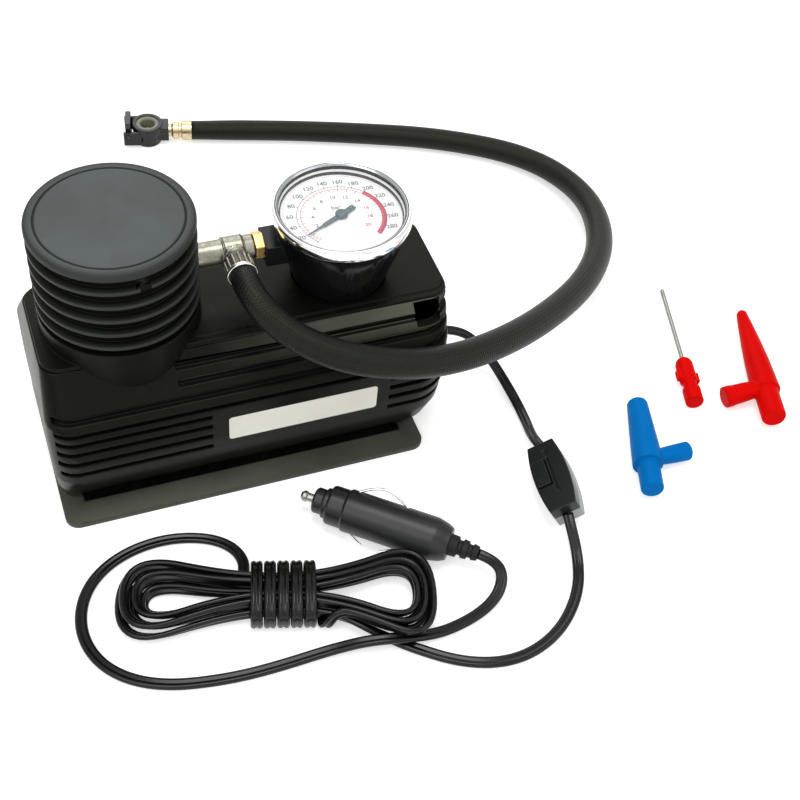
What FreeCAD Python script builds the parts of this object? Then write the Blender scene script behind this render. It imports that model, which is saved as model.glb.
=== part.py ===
import FreeCAD, Part
import math
import os
import re
import Sketcher
from FreeCAD import Placement, Rotation, Vector

# Portable tyre inflator: a ribbed housing on a base plate, a finned tower over
# the cylinder, a pressure gauge, an air hose with a lever chuck, a flat twin
# cord with an inline switch and a socket plug, and three loose adapters.
# Frame: X along the housing, Y away from the viewer, Z up, the origin under
# the middle of the base plate on the surface that the object stands on.

doc = FreeCAD.newDocument("TyreInflator")
sheet = doc.addObject("Spreadsheet::Sheet", "Sizes")

SIZES = [
    # base plate, feet and screws
    ("base_length", 178.0), ("base_width", 101.4), ("base_corner", 12.0),
    ("base_underside", 0.0), ("base_rim_level", 2.9), ("base_border", 10.0),
    ("base_border_level", 6.0), ("base_floor_level", 3.8), ("base_screw_x", 70.0),
    ("base_screw_y", 21.0), ("foot_radius", 8.0), ("foot_socket", 1.0),
    ("foot_inset_x", 13.0), ("foot_inset_y", 12.7), ("foot_clearance", 0.1),
    ("screw_head_radius", 3.4), ("screw_head_length", 1.6), ("screw_radius", 1.9),
    ("screw_length", 16.0), ("screw_clearance", 0.1),
    # housing
    ("body_left", 90.0), ("body_right", 102.5), ("body_half", 46.0),
    ("body_left_corner", 12.0), ("body_right_corner", 20.0),
    ("heel_left", 86.0), ("heel_right", 84.0), ("heel_half", 29.0),
    ("heel_corner", 8.0), ("belly_level", 38.0), ("shoulder_level", 61.5),
    ("deck_edge_level", 82.3), ("deck_level", 84.0), ("deck_half", 28.0),
    ("deck_left", 87.5), ("deck_left_corner", 9.0), ("deck_right_corner", 9.0),
    ("deck_inset", 0.8), ("wall", 5.0), ("deck_thickness", 4.0),
    ("rib_gap", 2.6), ("rib_depth", 2.5), ("wide_gap", 4.5),
    ("rib_a_level", 75.5), ("rib_b_level", 69.8), ("rib_c_level", 64.0),
    ("rib_d_level", 57.9), ("rib_e_level", 51.9), ("rib_f_level", 45.5),
    ("rib_g_level", 38.7), ("rib_j_level", 31.0), ("rib_left_limit", 30.3),
    ("panel_left", 17.6), ("panel_right", 68.4), ("notch_left", 84.0),
    ("notch_width", 12.0), ("notch_depth", 9.0), ("notch_level", 73.2),
    ("notch_height", 8.8), ("boss_radius", 4.5),
    ("boss_level", 24.0), ("web_level", 10.0), ("belly_reach", 15.0), ("boss_bore", 1.85), ("trim_left", 19.0),
    ("trim_half", 24.0), ("trim_height", 0.6),
    # tower
    ("tower_x", 47.2), ("tower_radius", 36.0), ("skirt_level", 93.6),
    ("skirt_bore", 31.0), ("fin_root", 32.0), ("fin_thickness", 1.8),
    ("fin_pitch", 8.1), ("fin_first_level", 99.0), ("sleeve_bore", 29.0),
    ("sleeve_level", 137.4), ("sleeve_spigot", 30.7), ("sleeve_bottom", 84.5),
    ("cap_level", 141.4), ("cap_rim_round", 1.6), ("cap_ring_radius", 31.5),
    ("cap_groove", 0.7), ("cap_spigot_depth", 4.0), ("cap_clearance", 0.15),
    ("fin_notch_width", 5.0),
    # drive
    ("gear_level", 50.5), ("motor_level", 26.1), ("gear_root", 17.8),
    ("gear_module", 0.9), ("gear_teeth", 42.0), ("pinion_teeth", 12.0),
    ("gear_left", 32.0), ("gear_width", 8.0), ("mesh_backlash", 0.14),
    ("gear_shaft_radius", 4.0), ("gear_shaft_end", 9.0), ("shaft_clearance", 0.05),
    ("gear_clip_radius", 5.4), ("frame_left", 22.0), ("frame_thickness", 5.0),
    ("frame_half", 24.0), ("frame_top", 78.0), ("frame_shelf_left", 66.0),
    ("frame_shelf_half", 18.0), ("frame_shelf_level", 72.0),
    ("bearing_boss_radius", 6.0), ("bearing_boss_length", 6.0),
    ("motor_radius", 18.0), ("motor_bore", 16.5), ("motor_length", 50.0),
    ("motor_plate", 2.0), ("endbell_length", 5.0), ("magnet_bore", 15.0),
    ("magnet_length", 38.0), ("rotor_radius", 14.5), ("rotor_length", 30.0),
    ("commutator_radius", 5.0), ("motor_shaft_radius", 1.6),
    ("crank_throw", 7.0), ("crank_pin_radius", 3.0), ("crank_pin_gap", 0.3),
    ("rod_left", 51.2), ("rod_thickness", 8.0), ("rod_half_width", 3.2),
    ("rod_eye_radius", 5.6), ("piston_radius", 10.7), ("piston_bottom", 82.0),
    ("piston_height", 7.5), ("seal_height", 2.0), ("cylinder_bore", 10.95),
    ("cylinder_radius", 15.0), ("cylinder_top", 104.0), ("flange_radius", 20.0),
    ("flange_height", 3.0), ("head_radius", 20.0), ("head_top", 118.0),
    # outlet and gauge
    ("outlet_level", 110.0), ("outlet_radius", 5.5), ("outlet_bore", 3.0),
    ("outlet_right", 14.4), ("outlet_hole_clearance", 0.3), ("branch_x", 5.0),
    ("branch_length", 7.0), ("branch_radius", 5.0), ("ferrule_radius", 6.9),
    ("ferrule_length", 10.3), ("nut_length", 4.4), ("nut_radius", 6.6),
    ("gauge_x", 55.9), ("stem_half", 7.5), ("gauge_foot_radius", 22.0),
    ("gauge_radius", 30.2), ("gauge_bottom", 80.5), ("gauge_wall", 2.5),
    ("gauge_floor", 96.0), ("dial_level", 117.2), ("dial_thickness", 0.8),
    ("dial_radius", 27.4), ("bezel_radius", 31.3), ("bezel_bottom", 120.4),
    ("bezel_top", 124.5), ("bezel_bore", 28.0), ("lens_radius", 29.0),
    ("lens_bottom", 121.4), ("lens_thickness", 1.6), ("gauge_clearance", 0.15),
    ("pointer_level", 119.0), ("pointer_thickness", 0.7), ("pointer_length", 21.0),
    ("pointer_tail", 8.0), ("pointer_shaft", 0.8), ("pointer_hub", 2.2),
    ("pointer_clearance", 0.05), ("movement_radius", 12.0), ("movement_bottom", 100.0),
    ("dial_hole", 1.5), ("movement_gap", 1.0),
    # hose, end fitting and chuck
    ("hose_radius", 6.5), ("fitting_length", 13.6), ("fitting_radius", 5.2),
    ("fitting_neck", 3.6), ("chuck_level", 8.0), ("chuck_block", 5.2),
    ("chuck_radius", 9.0), ("chuck_bottom", 0.4), ("chuck_height", 12.5),
    ("chuck_bore", 6.6), ("chuck_bore_floor", 6.0), ("seal_bore", 4.2),
    ("chuck_pin_radius", 1.2), ("lever_width", 13.0), ("lever_thickness", 3.2),
    ("lever_length", 9.5), ("lever_x", 11.2), ("lever_pin_radius", 1.5), ("lever_clearance", 0.05),
    # cord, gland, switch and plug
    ("cord_width", 5.6), ("cord_thickness", 2.8), ("gland_level", 27.0),
    ("gland_radius", 6.0), ("gland_flange", 8.0), ("gland_length", 13.0),
    ("switch_length", 39.0), ("switch_width", 18.0), ("switch_end_width", 13.5),
    ("switch_height", 14.5), ("switch_roll", 30.0), ("rocker_length", 14.5),
    ("rocker_width", 6.5), ("rocker_shift", 2.5), ("rocker_pin_radius", 0.9), ("rocker_clearance", 0.3),
    ("plug_radius", 10.4), ("plug_length", 60.0), ("plug_nose_radius", 7.4),
    ("plug_nose_length", 7.5), ("plug_tip_radius", 2.1), ("plug_tip_ball", 2.6),
    ("plug_tip_out", 6.6), ("plug_tip_bore_depth", 12.0), ("plug_tip_clearance", 0.08),
    ("relief_length", 14.0), ("relief_radius", 5.2), ("contact_radius", 0.6),
    # hank
    ("hank_step", 3.6), ("hank_waist", 10.25), ("hank_lobe_corner", 28.5),
    ("hank_lobe_radius", 17.8), ("hank_waist_radius", 40.0), ("hank_reach", 71.0), ("hank_low_level", 6.1), ("hank_high_level", 12.2),
    ("wrap_pitch", 5.95), ("wrap_half", 13.6), ("wrap_top", 17.4),
    # loose adapters
    ("needle_radius", 1.2), ("needle_length", 56.9), ("needle_hub_radius", 4.7),
    ("red_length", 82.4), ("red_radius", 7.6), ("blue_length", 58.8),
    ("blue_radius", 7.8), ("stub_radius", 5.7),
]

for row, (alias, value) in enumerate(SIZES, start=1):
    sheet.set("A%d" % row, alias)
    sheet.set("B%d" % row, "%g" % value)
    sheet.setAlias("B%d" % row, alias)
doc.recompute()
ALIASES = set(alias for alias, value in SIZES)


def spread(text):
    """The expression with each size's name turned into the sheet's cell."""
    def swap(match):
        word = match.group(0)
        return "Sizes." + word if word in ALIASES else word
    return re.sub(r"[a-z][a-z0-9_]*", swap, str(text))


def num(text):
    """The value of an expression in the sheet's sizes."""
    return float(sheet.evalExpression(spread(text)))


def bind(item, prop, text):
    """Tie a property to an expression in the sheet's sizes."""
    item.setExpression(prop, spread(text))


def turn(direction):
    """The rotation that takes the Z axis to a direction."""
    return Rotation(Vector(0, 0, 1), Vector(*direction))


def put(item, x=0, y=0, z=0, rotation=None):
    """Place an object at bound coordinates with a fixed rotation."""
    item.Placement = Placement(Vector(num(x), num(y), num(z)), rotation or Rotation())
    for axis, text in (("x", x), ("y", y), ("z", z)):
        if str(text) != "0":
            bind(item, "Placement.Base." + axis, text)
    return item


def cylinder(name, radius, height, x=0, y=0, z=0, direction=(0, 0, 1)):
    item = doc.addObject("Part::Cylinder", name)
    bind(item, "Radius", radius)
    bind(item, "Height", height)
    return put(item, x, y, z, turn(direction))


def cone(name, radius1, radius2, height, x=0, y=0, z=0, direction=(0, 0, 1)):
    item = doc.addObject("Part::Cone", name)
    bind(item, "Radius1", radius1)
    bind(item, "Radius2", radius2)
    bind(item, "Height", height)
    return put(item, x, y, z, turn(direction))


def box(name, length, width, height, x=0, y=0, z=0, rotation=None):
    item = doc.addObject("Part::Box", name)
    bind(item, "Length", length)
    bind(item, "Width", width)
    bind(item, "Height", height)
    return put(item, x, y, z, rotation)


def prism(name, sides, radius, height, x=0, y=0, z=0, direction=(0, 0, 1)):
    item = doc.addObject("Part::Prism", name)
    item.Polygon = sides
    bind(item, "Circumradius", radius)
    bind(item, "Height", height)
    return put(item, x, y, z, turn(direction))


def cut(name, base, tool):
    item = doc.addObject("Part::Cut", name)
    item.Base = base
    item.Tool = tool
    return item


def fuse(name, *pieces):
    item = doc.addObject("Part::MultiFuse", name)
    item.Shapes = list(pieces)
    item.Refine = True
    return item


def common(name, *pieces):
    item = doc.addObject("Part::MultiCommon", name)
    item.Shapes = list(pieces)
    return item


def loft(name, sections):
    item = doc.addObject("Part::Loft", name)
    item.Sections = sections
    item.Solid = True
    item.Ruled = True
    return item


def extrude(name, sketch, height):
    item = doc.addObject("Part::Extrusion", name)
    item.Base = sketch
    item.DirMode = "Custom"
    item.Dir = Vector(0, 0, 1)
    item.Solid = True
    bind(item, "LengthFwd", height)
    return item


def outline(name, z, left, right, half, left_corner, right_corner):
    """A rounded rectangle at a level, alike on both sides of the X axis."""
    xl, xr, y = -num(left), num(right), num(half)
    rl, rr = num(left_corner), num(right_corner)
    up, quarter = Vector(0, 0, 1), math.pi / 2

    def corner(cx, cy, radius, start):
        circle = Part.Circle(Vector(cx, cy, 0), up, radius)
        return Part.ArcOfCircle(circle, start * quarter, (start + 1) * quarter)

    def side(x1, y1, x2, y2):
        return Part.LineSegment(Vector(x1, y1, 0), Vector(x2, y2, 0))

    sketch = doc.addObject("Sketcher::SketchObject", name)
    sketch.addGeometry([
        side(xl + rl, -y, xr - rr, -y), corner(xr - rr, -y + rr, rr, 3),
        side(xr, -y + rr, xr, y - rr), corner(xr - rr, y - rr, rr, 0),
        side(xr - rr, y, xl + rl, y), corner(xl + rl, y - rl, rl, 1),
        side(xl, y - rl, xl, -y + rl), corner(xl + rl, -y + rl, rl, 2),
    ], False)
    rules = []
    for i in range(8):
        rules.append(Sketcher.Constraint("Tangent", i, 2, (i + 1) % 8, 1))
    rules.append(Sketcher.Constraint("Horizontal", 0))
    rules.append(Sketcher.Constraint("Vertical", 2))
    rules.append(Sketcher.Constraint("Horizontal", 4))
    rules.append(Sketcher.Constraint("Vertical", 6))
    rules.append(Sketcher.Constraint("Equal", 1, 3))
    rules.append(Sketcher.Constraint("Equal", 7, 5))
    named = [
        ("right", Sketcher.Constraint("DistanceX", -1, 1, 2, 1, xr), right),
        ("left", Sketcher.Constraint("DistanceX", 6, 1, -1, 1, -xl), left),
        ("front", Sketcher.Constraint("DistanceY", 0, 1, -1, 1, y), half),
        ("back", Sketcher.Constraint("DistanceY", -1, 1, 4, 1, y), half),
        ("right_corner", Sketcher.Constraint("Radius", 1, rr), right_corner),
        ("left_corner", Sketcher.Constraint("Radius", 7, rl), left_corner),
    ]
    sketch.addConstraint(rules)
    for label, rule, text in named:
        index = sketch.addConstraint(rule)
        sketch.renameConstraint(index, label)
        bind(sketch, "Constraints." + label, text)
    put(sketch, 0, 0, z)
    return sketch


def plane(body, role):
    for feature in body.Origin.OriginFeatures:
        if feature.Role == role:
            return feature


def revolved(name, points, x=0, y=0, z=0, direction=(0, 0, 1)):
    """A body turned about its own axis from (radius, height) points."""
    body = doc.addObject("PartDesign::Body", name)
    sketch = body.newObject("Sketcher::SketchObject", name + "_profile")
    sketch.AttachmentSupport = [(plane(body, "XZ_Plane"), "")]
    sketch.MapMode = "FlatFace"
    values = [(num(r), num(level)) for r, level in points]
    count = len(points)
    for i in range(count):
        a, b = values[i], values[(i + 1) % count]
        sketch.addGeometry(Part.LineSegment(Vector(a[0], a[1], 0), Vector(b[0], b[1], 0)), False)
    for i in range(count):
        sketch.addConstraint(Sketcher.Constraint("Coincident", i, 2, (i + 1) % count, 1))
    for i, (r, level) in enumerate(points):
        if values[i][0] == 0:
            sketch.addConstraint(Sketcher.Constraint("PointOnObject", i, 1, -2))
        else:
            index = sketch.addConstraint(Sketcher.Constraint("DistanceX", -1, 1, i, 1, values[i][0]))
            sketch.renameConstraint(index, "r%d" % i)
            bind(sketch, "Constraints.r%d" % i, r)
        if values[i][1] == 0:
            sketch.addConstraint(Sketcher.Constraint("PointOnObject", i, 1, -1))
        elif values[i][1] > 0:
            index = sketch.addConstraint(Sketcher.Constraint("DistanceY", -1, 1, i, 1, values[i][1]))
            sketch.renameConstraint(index, "z%d" % i)
            bind(sketch, "Constraints.z%d" % i, level)
        else:
            index = sketch.addConstraint(Sketcher.Constraint("DistanceY", i, 1, -1, 1, -values[i][1]))
            sketch.renameConstraint(index, "z%d" % i)
            bind(sketch, "Constraints.z%d" % i, "-(%s)" % level)
    solid = body.newObject("PartDesign::Revolution", name + "_turned")
    solid.Profile = sketch
    solid.ReferenceAxis = (sketch, ["V_Axis"])
    solid.Angle = 360
    body.Tip = solid
    put(body, x, y, z, turn(direction))
    return body


def feature(name, shape, placement=None):
    item = doc.addObject("Part::Feature", name)
    item.Shape = shape
    item.Placement = placement or Placement()
    return item


NODES = []


def node(label, item):
    """Keep a finished sub-part under its file's name."""
    item.Label = label
    NODES.append(item)
    return item


# Housing outlines: the belly follows a quarter of an ellipse from the heel to
# the upright middle, and the shoulder slopes in from there to the deck.

def belly(step, inset="0"):
    rise, reach = 1 - math.cos(math.radians(step)), math.sin(math.radians(step))

    def between(heel, full):
        return "%s + (%s - %s) * %.5f - %s" % (heel, full, heel, reach, inset)

    level = "base_floor_level + (belly_level - base_floor_level) * %.5f" % rise
    return (level, between("heel_left", "body_left"), between("heel_right", "body_right"),
            between("heel_half", "body_half"), between("heel_corner", "body_left_corner"),
            between("heel_corner", "body_right_corner"))


def shoulder(level, inset="0"):
    part = "(%s - shoulder_level) / (deck_edge_level - shoulder_level)" % level

    def between(full, deck):
        return "%s + (%s - %s) * %s - %s" % (full, deck, full, part, inset)

    return (level, between("body_left", "deck_left"), between("body_right", "body_right"),
            between("body_half", "deck_half"), between("body_left_corner", "deck_left_corner"),
            between("body_right_corner", "deck_right_corner"))


def upright(level, inset="0"):
    return (level, "body_left - " + inset, "body_right - " + inset, "body_half - " + inset,
            "body_left_corner - " + inset, "body_right_corner - " + inset)


# Base plate: a rim, a border that slopes up and a sunk floor under the housing.
plate_rim = outline("plate_rim", "base_underside", "base_length / 2", "base_length / 2",
                    "base_width / 2", "base_corner", "base_corner")
plate_slab = extrude("plate_slab", plate_rim, "base_rim_level - base_underside")
plate_low = outline("plate_low", "base_rim_level", "base_length / 2", "base_length / 2",
                    "base_width / 2", "base_corner", "base_corner")
plate_high = outline("plate_high", "base_border_level", "base_length / 2 - base_border",
                     "base_length / 2 - base_border", "base_width / 2 - base_border",
                     "base_corner / 3", "base_corner / 3")
plate_slope = loft("plate_slope", [plate_low, plate_high])
plate_well = outline("plate_well", "base_floor_level", "base_length / 2 - base_border - 0.8",
                     "base_length / 2 - base_border - 0.8", "base_width / 2 - base_border - 0.8",
                     "base_corner / 3 - 0.8", "base_corner / 3 - 0.8")
plate_sink = extrude("plate_sink", plate_well, "base_border_level")
plate_seat = outline("plate_seat", "base_floor_level", "heel_left + 0.4", "heel_right + 2",
                     "heel_half + 7", "heel_corner", "heel_corner")
plate_pocket = extrude("plate_pocket", plate_seat, "base_border_level")
plate_solid = cut("plate_solid", fuse("plate_whole", plate_slab, plate_slope),
                  fuse("plate_hollows", plate_sink, plate_pocket))
sockets = []
for i, (sx, sy) in enumerate(((-1, -1), (1, -1), (1, 1), (-1, 1)), start=1):
    foot_spot = ("%d * (base_length / 2 - foot_inset_x)" % sx,
                 "%d * (base_width / 2 - foot_inset_y)" % sy)
    sockets.append(cylinder("foot_socket_%d" % i, "foot_radius + foot_clearance",
                            "foot_socket + 1", foot_spot[0], foot_spot[1],
                            "base_underside - 1"))
    sockets.append(cylinder("screw_recess_%d" % i, "screw_head_radius + 0.3",
                            "screw_head_length + 1.5", "%d * base_screw_x" % sx,
                            "%d * base_screw_y" % sy, "base_underside - 1"))
    sockets.append(cylinder("screw_hole_%d" % i, "screw_radius + screw_clearance", "8",
                            "%d * base_screw_x" % sx, "%d * base_screw_y" % sy, "-1"))
    foot = cylinder("base_foot_%d" % i, "foot_radius", "foot_socket",
                    foot_spot[0], foot_spot[1], "0")
    node("base_foot_%d" % i, foot)
    screw = revolved("base_screw_%d" % i, [
        ("0", "0"), ("screw_head_radius", "0"), ("screw_head_radius", "screw_head_length"),
        ("screw_radius", "screw_head_length"), ("screw_radius", "screw_length - 1.5"),
        ("screw_radius / 3", "screw_length"), ("0", "screw_length"),
    ], "%d * base_screw_x" % sx, "%d * base_screw_y" % sy, "base_underside + 0.4")
    node("base_screw_%d" % i, screw)
base_plate = cut("base_plate", plate_solid, fuse("plate_sockets", *sockets))
node("base_plate", base_plate)

# Housing: outer skin, tower skirt, cavity, ribs, notch and screw bosses.
skin = [outline("skin_%d" % i, *belly(step)) for i, step in enumerate((0, 22.5, 45, 67.5, 90))]
skin.append(outline("skin_5", *upright("shoulder_level")))
skin.append(outline("skin_6", *shoulder("deck_edge_level")))
skin_loft = loft("skin_loft", skin)
deck_low = outline("deck_low", "deck_edge_level", "deck_left - deck_inset",
                   "body_right", "deck_half - deck_inset", "deck_left_corner",
                   "deck_right_corner")
deck_slab = extrude("deck_slab", deck_low, "deck_level - deck_edge_level")
trim_low = outline("trim_low", "deck_level - 0.5", "trim_left", "body_right - 1",
                   "trim_half", "1.5", "deck_right_corner - 2")
trim_slab = extrude("trim_slab", trim_low, "0.5 + trim_height")
skirt = cylinder("skirt", "tower_radius", "skirt_level - shoulder_level - 2",
                 "-tower_x", "0", "shoulder_level + 2")
hull = fuse("hull", skin_loft, deck_slab, trim_slab, skirt)

hollow = [outline("hollow_0", "base_floor_level - 1", "heel_left - wall", "heel_right - wall",
                  "heel_half - wall", "heel_corner - wall / 2", "heel_corner - wall / 2")]
for i, step in enumerate((22.5, 45, 67.5, 90), start=1):
    hollow.append(outline("hollow_%d" % i, *belly(step, "wall")))
hollow.append(outline("hollow_5", *upright("shoulder_level", "wall")))
hollow.append(outline("hollow_6", *shoulder("deck_level - deck_thickness", "wall")))
hollow_loft = loft("hollow_loft", hollow)
skirt_hole = cylinder("skirt_hole", "skirt_bore", "skirt_level", "-tower_x", "0",
                      "deck_level - deck_thickness - 1")
can_hole = cylinder("can_hole", "gauge_foot_radius + gauge_clearance", "20", "gauge_x", "0",
                    "deck_level - deck_thickness - 2")
notch_box = box("notch_box", "notch_width", "notch_depth + 20", "notch_height", "notch_left",
                "-deck_half - 20 + 1", "notch_level")
gland_hole = cylinder("gland_hole", "gland_radius", "30", "body_right - 20", "0",
                      "gland_level", (1, 0, 0))

channels = [hollow_loft, skirt_hole, can_hole, notch_box, gland_hole]
RIBS = [
    ("a", "wide_gap", "-rib_left_limit", False), ("b", "rib_gap", "-rib_left_limit", False),
    ("c", "rib_gap", "-body_left + rib_depth + 0.4", False),
    ("d", "rib_gap", "-body_left + rib_depth + 0.1", False),
    ("e", "rib_gap", "-body_left + rib_depth + 0.1", True),
    ("f", "rib_gap", "-body_left + rib_depth + 0.1", True),
    ("g", "rib_gap", "-body_left + rib_depth + 0.1", True),
    ("j", "rib_gap", "-body_left + rib_depth + 0.6", True),
]
for mark, gap, limit, panelled in RIBS:
    level = "rib_%s_level" % mark
    if mark in "abc":
        shape = shoulder(level, "rib_depth")
    elif mark == "j":
        shape = (level, "body_left - 0.5 - rib_depth", "body_right - 0.8 - rib_depth",
                 "body_half - 0.7 - rib_depth", "body_left_corner - rib_depth",
                 "body_right_corner - rib_depth")
    else:
        shape = upright(level, "rib_depth")
    core = extrude("core_" + mark, outline("core_line_" + mark, *shape), gap)
    keep = core
    if panelled:
        panel = box("panel_" + mark, "panel_left + panel_right", "body_half", gap,
                    "-panel_left", "-body_half * 2 + wall", level)
        keep = fuse("keep_" + mark, core, panel)
    slab = box("slab_" + mark, "body_right + 20 - (%s)" % limit, "body_half * 2 + 20", gap,
               limit, "-body_half - 10", level)
    channels.append(cut("channel_" + mark, slab, keep))
carved = cut("carved", hull, fuse("channels", *channels))

bosses = []
bores = []
for i, (sx, sy) in enumerate(((-1, -1), (1, -1), (1, 1), (-1, 1)), start=1):
    spot = ("%d * base_screw_x" % sx, "%d * base_screw_y" % sy)
    bosses.append(cylinder("boss_%d" % i, "boss_radius", "boss_level - base_floor_level",
                           spot[0], spot[1], "base_floor_level"))
    bosses.append(box("boss_web_%d" % i, "2.4", "belly_reach", "boss_level - web_level",
                      spot[0] + " - 1.2", "base_screw_y" if sy > 0 else
                      "-base_screw_y - belly_reach", "web_level"))
    bores.append(cylinder("boss_bore_%d" % i, "boss_bore", "screw_length + 1",
                          spot[0], spot[1], "base_floor_level - 1"))
housing = cut("housing_shell", fuse("bossed", carved, *bosses), fuse("boss_bores", *bores))
node("housing_shell", housing)

# Tower: a sleeve with five fins and a cap with a shallow ring.
profile = [("sleeve_bore", "sleeve_bottom"), ("sleeve_spigot", "sleeve_bottom"),
           ("sleeve_spigot", "skirt_level"), ("fin_root", "skirt_level")]
for i in range(5):
    top = "fin_first_level + %d * fin_pitch" % i
    profile += [("fin_root", top + " - fin_thickness"), ("tower_radius", top + " - fin_thickness"),
                ("tower_radius", top), ("fin_root", top)]
profile += [("fin_root", "sleeve_level"), ("sleeve_bore", "sleeve_level")]
sleeve = revolved("sleeve", profile, "-tower_x")
pipe_hole = cylinder("pipe_hole", "outlet_radius + outlet_hole_clearance", "60",
                     "-tower_x", "0", "outlet_level", (1, 0, 0))
fin_slot = box("fin_slot", "6", "fin_notch_width", "fin_thickness + 2", "fin_root",
               "-fin_notch_width / 2", "fin_first_level + 4 * fin_pitch - fin_thickness - 1")
fin_slot_turned = doc.addObject("Part::Compound", "fin_slot_turned")
fin_slot_turned.Links = [fin_slot]
put(fin_slot_turned, "-tower_x", "0", "0", Rotation(Vector(0, 0, 1), -79))
node("tower_fins", cut("tower_fins", sleeve, fuse("sleeve_cuts", pipe_hole, fin_slot_turned)))
cap_disc = revolved("tower_cap", [
    ("0", "sleeve_level"), ("sleeve_bore - 3", "sleeve_level"),
    ("sleeve_bore - 3", "sleeve_level - cap_spigot_depth"),
    ("sleeve_bore - cap_clearance", "sleeve_level - cap_spigot_depth"),
    ("sleeve_bore - cap_clearance", "sleeve_level"), ("tower_radius", "sleeve_level"),
    ("tower_radius", "cap_level - cap_rim_round"),
    ("tower_radius - cap_rim_round * 0.29", "cap_level - cap_rim_round * 0.29"),
    ("tower_radius - cap_rim_round", "cap_level"),
    ("cap_ring_radius + cap_groove", "cap_level"), ("cap_ring_radius", "cap_level - cap_groove"),
    ("cap_ring_radius - cap_groove", "cap_level"), ("0", "cap_level"),
], "-tower_x")
node("tower_cap", cap_disc)

# Frame, cylinder and head inside the housing.
frame_wall = box("frame_wall", "frame_thickness", "frame_half * 2",
                 "frame_shelf_level - base_floor_level", "-frame_left", "-frame_half",
                 "base_floor_level")
frame_shelf = box("frame_shelf", "frame_shelf_left - frame_left + frame_thickness",
                  "frame_shelf_half * 2", "frame_top - frame_shelf_level",
                  "-frame_shelf_left", "-frame_shelf_half", "frame_shelf_level")
bearing_boss = cylinder("bearing_boss", "bearing_boss_radius", "bearing_boss_length + 1",
                        "-frame_left + frame_thickness - 1", "0", "gear_level", (1, 0, 0))
frame_cuts = fuse("frame_cuts", cylinder(
    "gear_bearing", "gear_shaft_radius + shaft_clearance", "40", "-frame_left - 10", "0",
    "gear_level", (1, 0, 0)), cylinder(
    "motor_nose_hole", "motor_shaft_radius + 0.6", "20", "-frame_left - 5", "0",
    "motor_level", (1, 0, 0)), cylinder(
    "rod_opening", "cylinder_bore", "20", "-tower_x", "0", "frame_shelf_level - 5"))
node("gearbox_frame", cut("gearbox_frame", fuse("frame_whole", frame_wall, frame_shelf,
                                                bearing_boss), frame_cuts))
node("cylinder_liner", revolved("cylinder_liner", [
    ("cylinder_bore", "frame_top"), ("flange_radius", "frame_top"),
    ("flange_radius", "frame_top + flange_height"), ("cylinder_radius", "frame_top + flange_height"),
    ("cylinder_radius", "cylinder_top"), ("cylinder_bore", "cylinder_top"),
], "-tower_x"))
head_solid = revolved("head_solid", [
    ("0", "cylinder_top"), ("head_radius", "cylinder_top"), ("head_radius", "head_top - 2"),
    ("head_radius - 2", "head_top"), ("0", "head_top"),
], "-tower_x")
head_port = cylinder("head_port", "outlet_bore", "head_radius + 5", "-tower_x", "0",
                     "outlet_level", (1, 0, 0))
head_feed = cylinder("head_feed", "outlet_bore", "outlet_level - cylinder_top + 1", "-tower_x",
                     "0", "cylinder_top - 1")
node("cylinder_head", cut("cylinder_head", head_solid, fuse("head_ports", head_port, head_feed)))

# Motor: can, end bell, magnet ring, armature and pinion, all on one level axis.
can_left = "-frame_left + frame_thickness"
node("motor_can", revolved("motor_can", [
    ("motor_shaft_radius + shaft_clearance", "0"), ("motor_radius", "0"),
    ("motor_radius", "motor_length"), ("motor_bore", "motor_length"),
    ("motor_bore", "motor_plate"), ("motor_shaft_radius + shaft_clearance", "motor_plate"),
], can_left, "0", "motor_level", (1, 0, 0)))
node("motor_endbell", revolved("motor_endbell", [
    ("motor_shaft_radius + shaft_clearance", "motor_length"), ("motor_radius", "motor_length"),
    ("motor_radius", "motor_length + endbell_length - 2"), ("7", "motor_length + endbell_length"),
    ("motor_shaft_radius + shaft_clearance", "motor_length + endbell_length"),
], can_left, "0", "motor_level", (1, 0, 0)))
node("motor_magnets", revolved("motor_magnets", [
    ("magnet_bore", "motor_plate + 3"), ("motor_bore", "motor_plate + 3"),
    ("motor_bore", "motor_plate + 3 + magnet_length"),
    ("magnet_bore", "motor_plate + 3 + magnet_length"),
], can_left, "0", "motor_level", (1, 0, 0)))
armature_left = "-(frame_thickness + gear_left - frame_left + 1)"
node("armature", revolved("armature", [
    ("0", armature_left), ("motor_shaft_radius", armature_left),
    ("motor_shaft_radius", "motor_plate + 6"), ("rotor_radius", "motor_plate + 6"),
    ("rotor_radius", "motor_plate + 6 + rotor_length"),
    ("commutator_radius", "motor_plate + 6 + rotor_length"),
    ("commutator_radius", "motor_length - 4"), ("motor_shaft_radius", "motor_length - 4"),
    ("motor_shaft_radius", "motor_length + endbell_length - 1"),
    ("0", "motor_length + endbell_length - 1"),
], can_left, "0", "motor_level", (1, 0, 0)))


def gear_face(teeth, module, backlash, turned):
    """A spur gear's outline: involute flanks of few points, round valleys left square."""
    pitch = teeth * module / 2
    base = pitch * math.cos(math.radians(20))
    tip, root = pitch + module, pitch - 1.22 * module
    involute = math.tan(math.radians(20)) - math.radians(20)
    half = (math.pi * module / 2 - backlash) / 2 / pitch
    start = max(base, root + 0.05)
    points = []
    for tooth in range(int(teeth)):
        middle = turned + 2 * math.pi * tooth / teeth
        flank = []
        for radius in (start, (start + tip) / 2, tip):
            angle = math.acos(min(1.0, base / radius))
            flank.append((radius, half + involute - (math.tan(angle) - angle)))
        flank.insert(0, (root, flank[0][1]))
        for radius, side in flank:
            points.append((radius, middle - side))
        for radius, side in reversed(flank):
            points.append((radius, middle + side))
    corners = [Vector(0, r * math.cos(a), r * math.sin(a)) for r, a in points]
    return Part.Face(Part.makePolygon(corners + corners[:1]))


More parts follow.
